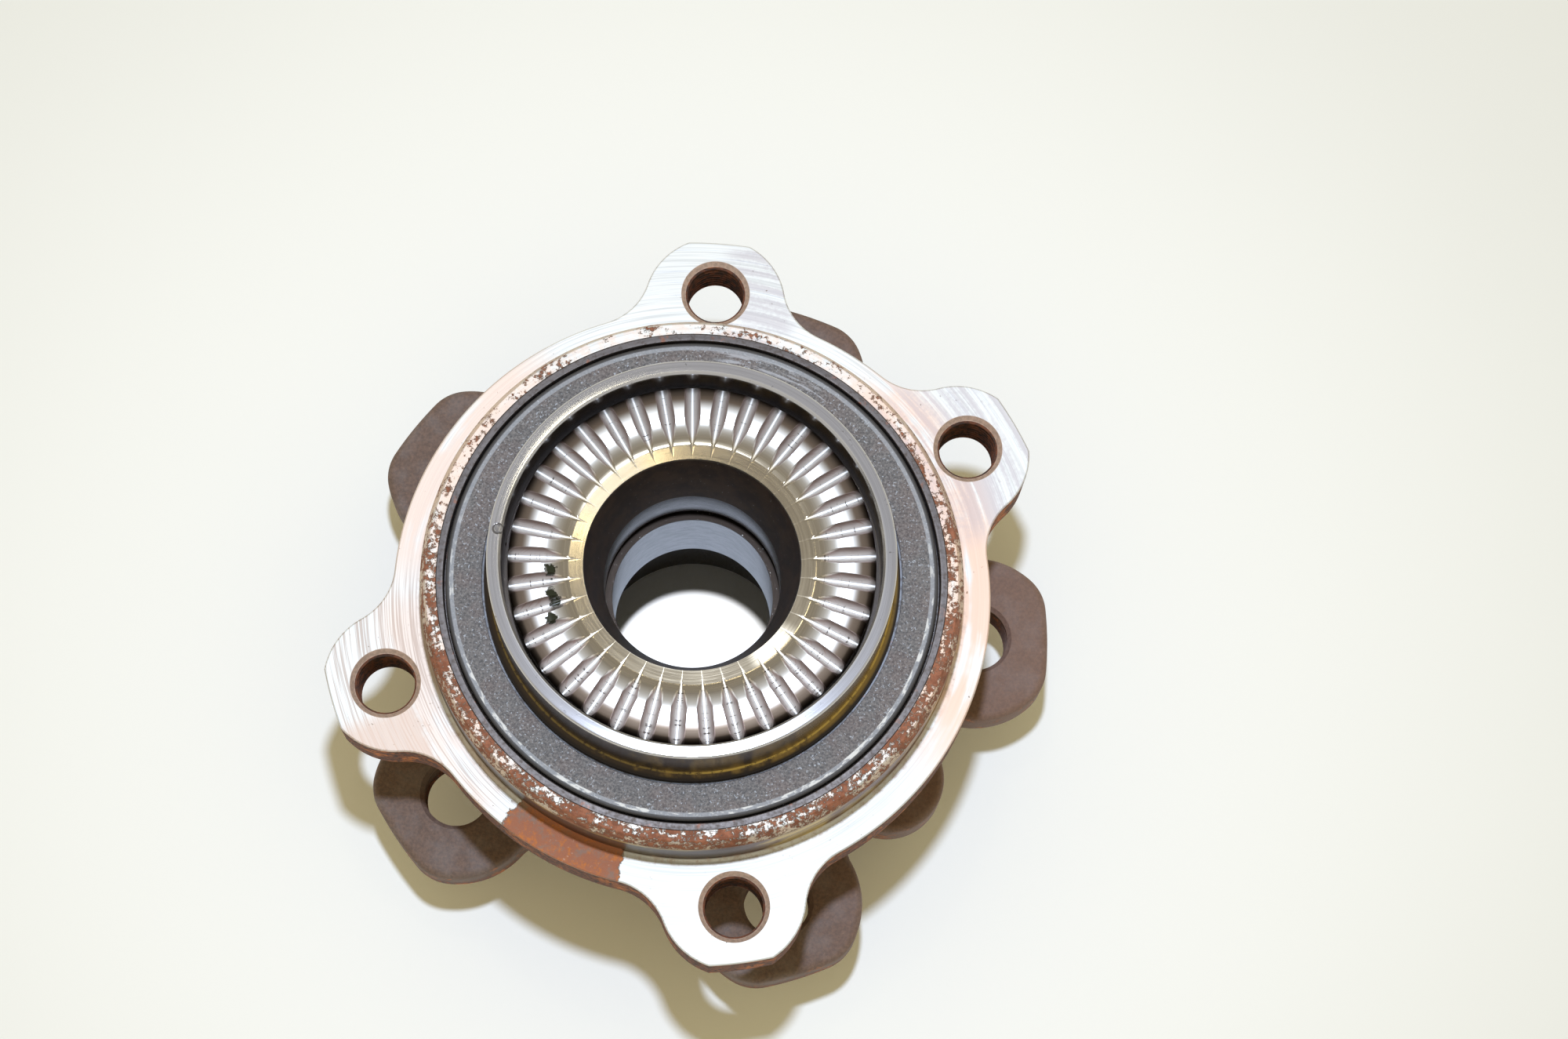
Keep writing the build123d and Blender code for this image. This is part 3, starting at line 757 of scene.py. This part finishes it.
    base = f.mix(bore, f.mix(top, outside, collar), inside)
    steel = f.either(f.either(top, neck), below * 0.7)
    metallic = f.either(steel * (1 - grease), bore * lands) * 0.85
    satin = 0.10 + glow * (1 - foot) * 0.12 + foot * 0.20 + (marks - 0.5) * 0.06 + groove * 0.14
    forged = 0.72 + (fine - 0.5) * 0.3
    roughness = forged + (satin - forged) * steel
    roughness = roughness + (0.42 - lands * 0.16 - roughness) * bore
    roughness = roughness + (0.12 - roughness) * grease * top
    rough_skin = (1 - steel) * (1 - bore)
    normal = f.bump((fine * 0.6 + f.noise(2.6, 3)) * rough_skin, 0.16, f.bump(marks * steel, 0.006))
    normal = f.bump(grease * top, 0.35, normal)
    return f.done(base, metallic, roughness, normal)


def race_finish(c, s):
    """Ground skirt with an oil film down its outside."""
    f = Finish("race_finish")
    top_z = HIGH["inner_ring"].z / MM
    marks, fine = f.turned(30, 0.22), f.noise(0.8, 5)
    steel = f.mix(f.step(marks, 0.3, 0.7), toned(c.ground, 1.10), toned(c.ground, 1.3))
    # Bright bands on the skirt top's rounded edges: painted highlights.
    bright = f.either(f.step(f.r, 35.05, 34.75), f.step(f.r, 36.45, 36.75))
    bright = bright * f.step(f.z, 69.4, 69.7)
    steel = f.mix(bright * 0.7, steel, c.lands)
    # Scratch marks painted bright on the -Y side only, where the skirt top catches the flash: a
    # painted glint on real marks.
    scratch_glints = f.step(f.stretched((0.25, 2.6, 1), 2), 0.66, 0.70)
    steel = f.mix(scratch_glints * f.step(f.y, -20, -32) * 0.6, steel, c.lands)
    steel = f.mix(f.step(fine, 0.64, 0.72) * 0.5, steel, c.oily_dark)
    wall = f.step(f.z, top_z - 0.4, top_z - 1.4)
    drips = f.stretched((0.3, 0.3, 0.05), 4)
    oil = f.mix(f.step(drips + f.x * 0.006, 0.42, 0.70), c.oily_dark, c.oiled)
    line = f.within(f.z, 56.6, 56.9, 0.2) * f.step(fine, 0.35, 0.5)
    oil = f.mix(line * (0.3 + f.sector(312, 32, 18) * 0.6), oil, c.gold)
    # Near black from 56 mm down to the encoder.
    oil = f.mix(f.step(f.z, 56.2, 55.6), oil, toned(c.oily_dark, 0.4))
    # The skirt's inner wall, in the gap round the collar, is painted near black: painted shade.
    inner = f.step(f.r, s.skirt_r / MM - 2.4, s.skirt_r / MM - 2.6)
    oil = f.mix(inner, oil, toned(c.oily_dark, 0.5))
    base = f.mix(wall, steel, oil)
    punch = f.nearest([PUNCH_MARK])
    dent = f.step(punch, 1.15, 1.0) * 0.35 + f.within(punch, 0.85, 1.0, 0.12) * 0.35
    base = f.mix(dent * (1 - wall), base, c.oily_dark)
    shelf = f.step(f.z, 57.4, 56.8)
    roughness = 0.09 + (marks - 0.5) * 0.04 + wall * 0.13 + shelf * 0.3
    normal = f.bump(f.step(punch, 0.6, 1.0), 0.25, f.bump(marks, 0.003))
    return f.done(base, 0.85 - wall * 0.35 - shelf * 0.4, roughness, normal)


def encoder_finish(c):
    """Granular magnetised rubber, worn in places, with a painted glint near its outer edge."""
    f = Finish("encoder_finish")
    grain, lumps = f.noise(0.42, 5, 0.75), f.noise(6.0)
    base = f.mix(f.step(grain, 0.34, 0.66), toned(c.encoder, 0.45), toned(c.encoder, 1.75))
    base = f.mix(f.step(lumps, 0.42, 0.62) * 0.10, base, c.rust)
    base = f.mix(f.step(f.noise(0.45, 2), 0.60, 0.70) * 0.8, base, c.blued)
    smear = (f.sector(68, 12, 8) * f.within(f.r, 42.0, 43.8, 0.5)
             + f.sector(100, 5, 3) * f.within(f.r, 40.5, 41.6, 0.4))
    base = f.mix(smear * f.step(f.turned(5, 0.7), 0.46, 0.62) * 0.7, base, c.ground)
    band = f.within(f.r, 43.95, 44.6, 0.15)
    base = f.mix(band * 0.45, base, c.blued)
    # A bright dashed line near the outer edge, on the -Y side only: edge wear with a painted glint.
    glint_dashes = band * f.step(f.turned(2.4, 0.9), 0.50, 0.60) * f.step(f.y, 26, -16)
    base = f.mix(glint_dashes * 0.7, base, c.lands)
    base = f.mix(f.step(f.r, 44.5, 44.8), base, toned(c.encoder, 0.45))
    return f.done(base, 0.1, 0.60 + (grain - 0.5) * 0.3, f.bump(grain, 0.05))


def seal_finish(name, c, steel, dirty):
    """Thin pressed steel, mottled by oil and dirt."""
    f = Finish(name)
    fine, marks = f.noise(0.8, 5), f.turned(12, 0.4)
    base = f.mix(f.step(marks, 0.3, 0.7), toned(steel, 0.7), steel)
    base = f.mix(f.step(fine, 0.50, 0.66) * dirty, base, c.oily_dark)
    base = f.mix(f.step(f.noise(2.5), 0.60, 0.72) * dirty, base, c.rust)
    return f.done(base, 0.5, 0.46 + (fine - 0.5) * 0.3, f.bump(fine, 0.02))


def rubber_finish(c):
    """Matt black rubber with fine rings."""
    f = Finish("lip_rubber")
    fine = f.noise(0.5, 4)
    base = f.mix(f.step(fine, 0.3, 0.7), c.rubber, toned(c.rubber, 2.2))
    return f.done(base, 0.0, 0.5 + (fine - 0.5) * 0.3, f.bump(f.turned(20, 0.3), 0.01))


def cage_finish(c):
    """Nylon whose glass fibres lie across the axis, with oil in places."""
    f = Finish("cage_nylon")
    fibres = f.stretched((0.5, 0.5, 3), 4)
    base = f.mix(f.step(fibres, 0.35, 0.65), toned(c.nylon, 0.8), c.nylon)
    base = f.mix(f.step(f.noise(3.0), 0.5, 0.7) * 0.4, base, c.oiled)
    return f.done(base, 0.0, 0.42 + (fibres - 0.5) * 0.2, f.bump(f.noise(0.5), 0.02))


def ball_finish(c):
    """Polished steel under a film of grease."""
    f = Finish("ball_steel")
    film = f.noise(4.0, 3)
    base = f.mix(f.step(film, 0.4, 0.7) * 0.5, c.balls, c.oiled)
    return f.done(base, 1.0, 0.07 + film * 0.08, f.bump(f.noise(0.6), 0.001))


def floor_finish(c):
    """Pale floor with a painted pool of light round the part, and a painted glow, seen only by the
    camera, where the floor shows through the bore.
    """
    f = Finish("floor_finish")
    base = f.mix(f.noise(60, 3), toned(c.floor, 0.97), c.floor)
    # Paler towards the middle: a painted pool of light round the part.
    base = f.mix(f.step(f.r, 240, 90), base, c.floor_painted_pool)
    # Painted light: the floor glows, for camera rays only, where it shows through the bore.
    seen = f.node("LightPath", {}, {}, "Is Camera Ray")
    lit = f.step(f.nearest([BORE_PAINTED_GLOW]), 18.3, 16.5)
    glow = f.mix(lit * seen, (0, 0, 0), c.floor_painted_glow)
    return f.done(base, 0.0, 0.55, f.bump(f.noise(2.0), 0.01), glow, Emission_Strength=1.0)


# --- The pieces ---

TRACK_R = 6.731 * MM
TRACK_SHIFT = 0.361 * MM
PITCH_R = 39.7045 * MM
CONTACT = radians(40)
ROWS = {"inboard": 41.5 * MM, "outboard": 25.0 * MM}
INNER_LOW_R = 33.55 * MM
OUTER_OPEN_R = 45.859 * MM
OUTER_MID_R = 42.1045 * MM
TRACK_CHORD = 0.8 * MM          # about the length of a facet along a track,
COLLAR_CHORD = 0.35 * MM        # and along the collar's section
RACE_LOW_Z = 33.25 * MM         # shoulder that the inner ring is pressed against
COLLAR_SEAT_Z = 59.5 * MM       # where the collar holds it down
GROOVE_START_R = 21.9 * MM      # inner end of the spline's grooves
BORE_LOW_Z, BORE_HIGH_Z = 17.6 * MM, 39.1 * MM      # lower ground land
JOINT_LOW_Z, JOINT_HIGH_Z = 41.0 * MM, 51.6 * MM    # upper ground land
PILOT_LOW_Z = -5 * MM           # wheel end of the disc pilot
HOLE_MOUTH = 0.8 * MM           # countersink of a tapped hole
FORGED_EDGE, TURNED_EDGE = 1.5 * MM, 0.35 * MM


def track_centre(row, inner):
    """Centre of a ball track's arc in the half section."""
    sign = 1 if inner else -1
    side = 1 if row == "outboard" else -1
    return (PITCH_R + sign * TRACK_SHIFT * cos(CONTACT),
            ROWS[row] + sign * side * TRACK_SHIFT * sin(CONTACT))


def track_end(centre, radius, side):
    """Where a track's arc meets a shoulder of that radius, above (side 1) or below."""
    return radius, centre[1] + side * sqrt(TRACK_R ** 2 - (radius - centre[0]) ** 2)


class HUB_OT_outer_ring(bpy.types.Operator):
    """Model the outer ring with its knuckle flange, ears and tapped holes"""
    bl_idname = "hub_bearing.outer_ring"
    bl_label = "Outer ring"

    def execute(self, context):
        s = context.scene.hub_ring
        upper, lower = track_centre("inboard", False), track_centre("outboard", False)
        edge = 0.5 * MM
        sunk = 0.01 * MM            # the body stands just below the flange's face
        seat_top, seat_low = s.rim_z - s.seat_depth, s.end_z + s.seat_depth_out
        pen = profile("outer_ring_forging", (s.seat_r, s.end_z), (s.pilot_r - edge, s.end_z))
        section_line(pen, (s.pilot_r, s.end_z + edge), (s.pilot_r, s.face_z - 0.6 * s.flange_t),
                     (s.pilot_r + s.root_r, s.face_z - 0.6 * s.flange_t),
                     (s.pilot_r + s.root_r, s.face_z - sunk))
        section_arc(pen, (s.pilot_r + s.root_r, s.face_z + s.root_r - sunk), -90)
        section_line(pen, (s.pilot_r, s.rim_z - s.rim_chamfer_l),
                     (s.pilot_r - s.rim_chamfer + 0.3 * MM, s.rim_z - 0.25 * MM),
                     (s.pilot_r - s.rim_chamfer, s.rim_z), (s.seat_r, s.rim_z),
                     (s.seat_r, seat_top), (OUTER_OPEN_R, seat_top),
                     track_end(upper, OUTER_OPEN_R, 1))
        section_arc_to(pen, upper, track_end(upper, OUTER_MID_R, -1), TRACK_CHORD)
        section_line(pen, track_end(lower, OUTER_MID_R, 1))
        section_arc_to(pen, lower, track_end(lower, OUTER_OPEN_R, -1), TRACK_CHORD)
        section_line(pen, (OUTER_OPEN_R, seat_low), (s.seat_r, seat_low), (s.seat_r, s.end_z))
        ring = spun(pen, RING_STEPS)

        ears = sorted(mount_angle(f"knuckle_bolt_{n}") % 360 for n in range(1, 5))
        under_z = s.face_z - s.flange_t
        circles = []
        for angle in ears:
            circles += [(MIDDLE, s.flange_r)]
            circles += lobe(polar(s.ear_pcr - s.ear_in, angle), s.ear_r, s.flange_r, s.ear_fillet,
                            s.ear_pcr + s.ear_tip, 0)
        flange = slab(outline("knuckle_flange", circles, s.face_z), under_z, s.face_z,
                      FORGED_EDGE, TURNED_EDGE)
        bore_out(flange, s.pilot_r - 1.5 * MM, 0, s.rim_z, RING_STEPS)
        combine(ring, flange, "UNION")
        holes = [polar(s.ear_pcr, angle) for angle in ears]
        for number, hole in enumerate(holes):
            tap(ring, f"ear_hole_{number}", hole, s.ear_hole_r, under_z, s.face_z, HOLE_MOUTH,
                s.ear_countersink)
        finished(ring, "outer_ring", "outer",
                 ring_finish(context.scene.hub_colours, s, holes))
        return {"FINISHED"}


class HUB_OT_hub(bpy.types.Operator):
    """Model the hub: lobed wheel flange, spigot, stem and rolled collar with its face spline"""
    bl_idname = "hub_bearing.hub"
    bl_label = "Hub"

    def execute(self, context):
        s = context.scene.hub_forging
        r = context.scene.hub_ring
        sunk = 0.03 * MM            # the body stands just inside the flange's faces
        edge = 0.5 * MM
        rise, run = s.crest_z - s.annulus_z, s.crest_r - s.land_start_r
        swing = (run ** 2 + rise ** 2) / (2 * rise)
        front_r = swing - s.land_foot_r
        foot_end = (s.land_start_r + s.land_foot_r * run / swing,
                    s.annulus_z + s.land_foot_r * (1 - sqrt(1 - (run / swing) ** 2)))
        # Radii of the collar's back, its corner and its underside, and of the neck at the flange
        back_r, corner_r, under_r, neck_r = 18 * MM, 1.5 * MM, 1.2 * MM, 2 * MM
        back_end = (s.collar_r - corner_r - corner_r * s.crest_r / back_r) / (1 - corner_r / back_r)
        back_angle = asin((back_end - s.crest_r) / back_r)
        crest_low = s.crest_z - back_r
        corner = (back_end - corner_r * sin(back_angle),
                  crest_low + (back_r - corner_r) * cos(back_angle))
        track = track_centre("outboard", True)
        bottom = LOW["hub"].z
        neck_z = s.flange_t + 0.5 * MM
        pen = profile("hub_forging", (s.crest_r, s.crest_z))
        section_arc(pen, (s.crest_r, crest_low), -degrees(back_angle), COLLAR_CHORD)
        section_arc(pen, corner, degrees(back_angle) - 90)
        section_line(pen, (s.collar_r, COLLAR_SEAT_Z + under_r))
        section_arc(pen, (s.collar_r - under_r, COLLAR_SEAT_Z + under_r), -90)
        section_line(pen, (s.stem_r, COLLAR_SEAT_Z), (s.stem_r, RACE_LOW_Z),
                     (INNER_LOW_R, RACE_LOW_Z), track_end(track, INNER_LOW_R, 1))
        section_arc_to(pen, track, track_end(track, r.land_r, -1), TRACK_CHORD)
        section_line(pen, (r.land_r, neck_z + neck_r))
        section_arc(pen, (r.land_r + neck_r, neck_z + neck_r), 90)
        section_line(pen, (s.face_r - 0.2 * MM, neck_z),
                     (s.face_r, s.flange_t + 0.3 * MM), (s.face_r, s.flange_t - sunk),
                     (s.dish_r + MM, s.flange_t - sunk), (s.dish_r + MM, sunk), (s.dish_r, sunk),
                     (s.dish_r, s.dish_depth), (s.pilot_r, s.dish_depth),
                     (s.pilot_r, PILOT_LOW_Z + edge), (s.pilot_r - edge, PILOT_LOW_Z),
                     (s.spigot_r, PILOT_LOW_Z), (s.spigot_r, bottom + 2 * MM),
                     (s.spigot_r - 2 * MM, bottom), (s.recess_r + edge, bottom),
                     (s.recess_r, bottom + edge), (s.recess_r, BORE_LOW_Z), (s.bore_r, BORE_LOW_Z),
                     (s.bore_r, BORE_HIGH_Z), (s.joint_r + 0.8 * MM, BORE_HIGH_Z),
                     (s.joint_r + 0.8 * MM, JOINT_LOW_Z), (s.joint_r, JOINT_LOW_Z),
                     (s.joint_r, JOINT_HIGH_Z))
        cone_top = (s.joint_r + 3.4 * MM, s.annulus_z)
        section_line(pen, (cone_top[0] - 0.25 * MM, s.annulus_z - 1.0 * MM), cone_top,
                     (s.land_start_r, s.annulus_z))
        section_arc_to(pen, (s.land_start_r, s.annulus_z + s.land_foot_r), foot_end, COLLAR_CHORD)
        section_arc_to(pen, (s.crest_r, s.crest_z - front_r), (s.crest_r, s.crest_z), COLLAR_CHORD)
        hub = spun(pen, HUB_STEPS)

        screw = mount_angle("disc_screw") % 360
        screw_ear = polar(s.web_r + 1.5 * MM, screw)
        bolts = [polar(s.bolt_pcr, 360 / LOBES * n) for n in range(LOBES)]
        lobes = [lobe(bolt, s.lobe_r, s.web_r, s.web_fillet, s.flange_r, s.lobe_corner_r)
                 for bolt in bolts]
        circles = []
        for n, here in enumerate(lobes):
            circles += here
            if abs(360 / LOBES * (n + 0.5) - screw) < 1:
                hollows = here[-1][0], lobes[(n + 1) % LOBES][0][0]
                gap, reach = s.web_fillet - s.screw_ear_fillet, s.screw_ear_r + s.screw_ear_fillet
                fillets = [(meet(hollow, gap, screw_ear, reach, side), -s.screw_ear_fillet)
                           for hollow, side in zip(hollows, (1, -1))]
                circles += [fillets[0], (screw_ear, s.screw_ear_r), fillets[1]]
            else:
                circles.append((MIDDLE, s.web_r))
        flange = slab(outline("wheel_flange", circles, s.flange_t), 0, s.flange_t,
                      FORGED_EDGE, FORGED_EDGE)
        bore_out(flange, s.dish_r + 0.4 * MM, -MM, 20 * MM, HUB_STEPS)
        for n, bolt in enumerate(bolts):
            tap(flange, f"wheel_bolt_hole_{n}", bolt, s.bolt_hole_r, 0, s.flange_t, HOLE_MOUTH,
                HOLE_MOUTH)
        combine(hub, self.grooves(s), "DIFFERENCE")
        combine(hub, flange, "UNION")
        tap(hub, "disc_screw_hole", screw_ear, s.screw_hole_r, 0, s.flange_t, HOLE_MOUTH,
            HOLE_MOUTH)
        finished(hub, "hub", "hub", hub_finish(context.scene.hub_colours, s))
        return {"FINISHED"}

    def grooves(self, s):
        """Round-rooted V cutters, one for each groove, falling gently outwards."""
        fall = radians(1.5)
        height = s.crest_z - s.annulus_z + 0.6 * MM
        flank, root_r = s.spline_flank, s.spline_root_r
        foot = Vector((root_r * cos(flank), root_r - root_r * sin(flank)))
        half = foot.x + (height - foot.y) * tan(flank)
        up = Vector((sin(fall), 0, cos(fall)))
        out = Vector((cos(fall), 0, -sin(fall)))
        side = Vector((0, 1, 0))
        base = Vector((GROOVE_START_R, 0, s.annulus_z)) - 0.4 * MM * out

        def place(across, rise):
            return base + across * side + rise * up

        pen = Pen("groove_cutter", place(half, height))
        pen.line(place(foot.x, foot.y))
        pen.arc(place(0, root_r), -(pi - 2 * flank), out, 0.15 * MM)
        pen.line(place(-half, height), place(half, height))
        pen.join_ends()
        bpy.ops.mesh.edge_face_add()
        bpy.ops.mesh.extrude_region_move(TRANSFORM_OT_translate={"value": 13 * MM * out})
        cutter = pen.done()
        pitch = 360 / SPLINE_TEETH
        only(cutter)
        bpy.ops.transform.rotate(value=-s.spline_phase, orient_axis="Z", center_override=(0, 0, 0))
        bpy.ops.object.transform_apply()
        return copied(cutter, [pitch * n for n in range(SPLINE_TEETH)])


class HUB_OT_inner_ring(bpy.types.Operator):
    """Model the inner ring with its seal land and tall skirt"""
    bl_idname = "hub_bearing.inner_ring"
    bl_label = "Inner ring"

    def execute(self, context):
        s = context.scene.hub_ring
        stem_r = context.scene.hub_forging.stem_r
        edge = 0.4 * MM
        track = track_centre("inboard", True)
        top = HIGH["inner_ring"].z
        land_top = s.rim_z + 0.7 * MM
        skirt_in = s.skirt_r - s.skirt_t
        pen = profile("inner_ring_race", (stem_r, RACE_LOW_Z), (INNER_LOW_R, RACE_LOW_Z),
                      track_end(track, INNER_LOW_R, -1))
        section_arc_to(pen, track, track_end(track, s.land_r, 1), TRACK_CHORD)
        section_line(pen, (s.land_r, land_top), (s.skirt_r, land_top + 1.4 * MM),
                     (s.skirt_r, top - edge))
        section_arc(pen, (s.skirt_r - edge, top - edge), 90)
        section_line(pen, (skirt_in + edge, top), (skirt_in, top - 1.2 * edge),
                     (skirt_in, COLLAR_SEAT_Z), (stem_r, COLLAR_SEAT_Z), (stem_r, RACE_LOW_Z))
        ring = spun(pen, RING_STEPS)
        finished(ring, "inner_ring", "hub", race_finish(context.scene.hub_colours, s))
        return {"FINISHED"}


class HUB_OT_seals(bpy.types.Operator):
    """Model the encoder ring and the seal case that shows round it"""
    bl_idname = "hub_bearing.seals"
    bl_label = "Seals and encoder"

    def execute(self, context):
        s = context.scene.hub_ring
        encoder_r = s.seat_r - s.case_t - s.groove_gap
        round_r = 0.5 * MM
        low, high = LOW["encoder_ring"].z, s.rim_z
        inside = s.land_r + 0.45 * MM
        pen = profile("encoder_rubber_ring", (inside, low), (encoder_r, low),
                      (encoder_r, high - round_r))
        section_arc(pen, (encoder_r - round_r, high - round_r), 90, 0.12 * MM)
        section_line(pen, (inside + 0.1 * MM, high), (inside, high - 0.1 * MM), (inside, low))
        encoder = spun(pen, RING_STEPS)
        colours = context.scene.hub_colours
        finished(encoder, "encoder_ring", "hub", encoder_finish(colours))

        plate = s.rim_z - s.seat_depth
        hole_r = 40.85 * MM
        lip = 0.2 * MM
        inner_wall = s.seat_r - s.case_t
        pen = profile("inboard_seal_case", (s.seat_r, plate), (s.seat_r, high - lip))
        section_arc(pen, (s.seat_r - lip, high - lip), 90, 0.08 * MM)
        section_line(pen, (inner_wall + lip, high))
        section_arc(pen, (inner_wall + lip, high - lip), 90, 0.08 * MM)
        section_line(pen, (inner_wall, plate + MM), (hole_r, plate + MM), (hole_r, plate),
                     (s.seat_r, plate))
        case = spun(pen, RING_STEPS)
        browned = [share * v for share, v in zip((0.48, 0.43, 0.40), colours.seal)]
        finished(case, "seal_case_inboard", "outer",
                 seal_finish("case_finish", colours, browned, 0.6))
        return {"FINISHED"}


class HUB_OT_hidden_parts(bpy.types.Operator):
    """Finish the balls, cages, seal lips, flinger and outboard seal case"""
    bl_idname = "hub_bearing.hidden_parts"
    bl_label = "Balls, cages and lips"

    def execute(self, context):
        c = context.scene.hub_colours
        finishes = {"ball": ball_finish(c), "cage": cage_finish(c), "seal_lips": rubber_finish(c),
                    "flinger": seal_finish("flinger_steel", c, toned(c.ground, 0.3), 0.6),
                    "seal_case_outboard": seal_finish("outboard_case_steel", c, c.seal, 0.5)}
        for node in frame["nodes"]:
            for start, finish in finishes.items():
                if node.startswith(start):
                    for slot in bpy.data.objects[node].material_slots:
                        slot.material = finish
        return {"FINISHED"}


class HUB_OT_stage(bpy.types.Operator):
    """Lay the floor, and set the lamps and the camera"""
    bl_idname = "hub_bearing.stage"
    bl_label = "Floor, lamps and camera"

    def execute(self, context):
        scene = context.scene
        bpy.ops.object.select_all(action="DESELECT")
        bpy.ops.mesh.primitive_plane_add(size=6, location=(0, 0, LOW["hub"].z))
        floor = context.object
        floor.name = "floor"
        floor.data.materials.append(floor_finish(scene.hub_colours))

        camera = bpy.data.cameras.new("camera")
        camera.sensor_width = 36
        camera.lens = 72
        camera.clip_end = 10
        view = bpy.data.objects.new("camera", camera)
        view.matrix_world = Matrix(CAMERA)
        scene.collection.objects.link(view)
        scene.camera = view

        for name, place, width, watts, tint in LAMPS:
            lamp = bpy.data.lights.new(name, "AREA")
            lamp.shape = "DISK"
            lamp.size = width
            lamp.energy = watts
            lamp.color = tint
            holder = bpy.data.objects.new(name, lamp)
            holder.location = place
            holder.rotation_euler = (-Vector(place)).to_track_quat("-Z", "Y").to_euler()
            scene.collection.objects.link(holder)
        world = bpy.data.worlds.new("surroundings")
        world.use_nodes = True
        nodes = world.node_tree.nodes
        path, tints = nodes.new("ShaderNodeLightPath"), nodes.new("ShaderNodeMix")
        tints.data_type = "RGBA"
        tints.inputs[6].default_value = (*ROOM_TINT, 1)
        tints.inputs[7].default_value = (*ROOM_IN_STEEL, 1)
        world.node_tree.links.new(path.outputs["Is Glossy Ray"], tints.inputs[0])
        world.node_tree.links.new(tints.outputs[2], nodes["Background"].inputs["Color"])
        nodes["Background"].inputs["Strength"].default_value = ROOM_LIGHT
        scene.world = world
        scene.view_settings.view_transform = "Standard"
        return {"FINISHED"}


# Where the camera stands, as its matrix
CAMERA = ((0.999585, -0.0191, -0.021552, 0.00422), (0.012736, 0.964438, -0.264001, -0.141958),
          (0.025828, 0.263617, 0.964282, 0.614401), (0, 0, 0, 1))
# Name, place, width, watts and tint
LAMPS = (("flash", (0.005, 0.034, 0.70), 0.035, 3.6, (0.69, 0.80, 1.0)),
         ("ceiling", (-0.045, 0.215, 0.76), 0.05, 0.06, (1.0, 0.92, 0.66)))
ROOM_TINT = (1.0, 0.86, 0.48)
ROOM_IN_STEEL = (0.84, 0.81, 0.78)      # steel mirrors whiter walls
ROOM_LIGHT = 0.50


class HUB_PT_panel(bpy.types.Panel):
    """Hub bearing"""
    bl_idname = "HUB_PT_panel"
    bl_label = "Hub bearing"
    bl_space_type = "VIEW_3D"
    bl_region_type = "UI"
    bl_category = "Hub bearing"

    def draw(self, context):
        scene = context.scene
        for operator in OPERATORS:
            self.layout.operator(operator.bl_idname)
        for group in (scene.hub_ring, scene.hub_forging, scene.hub_colours):
            box = self.layout.box()
            for name in group.__annotations__:
                box.prop(group, name)


OPERATORS = (HUB_OT_outer_ring, HUB_OT_hub, HUB_OT_inner_ring, HUB_OT_seals,
             HUB_OT_hidden_parts, HUB_OT_stage)
GROUPS = {"hub_ring": HubRingSizes, "hub_forging": HubForgingSizes, "hub_colours": HubColours}
CLASSES = (*GROUPS.values(), *OPERATORS, HUB_PT_panel)


def register():
    for cls in CLASSES:
        bpy.utils.register_class(cls)
    for name, group in GROUPS.items():
        setattr(bpy.types.Scene, name, bpy.props.PointerProperty(type=group))


def unregister():
    for name in GROUPS:
        delattr(bpy.types.Scene, name)
    for cls in reversed(CLASSES):
        bpy.utils.unregister_class(cls)


def main():
    register()
    bpy.ops.hub_bearing.outer_ring()
    bpy.ops.hub_bearing.hub()
    bpy.ops.hub_bearing.inner_ring()
    bpy.ops.hub_bearing.seals()
    bpy.ops.hub_bearing.hidden_parts()
    bpy.ops.hub_bearing.stage()


if __name__ == "__main__":
    main()
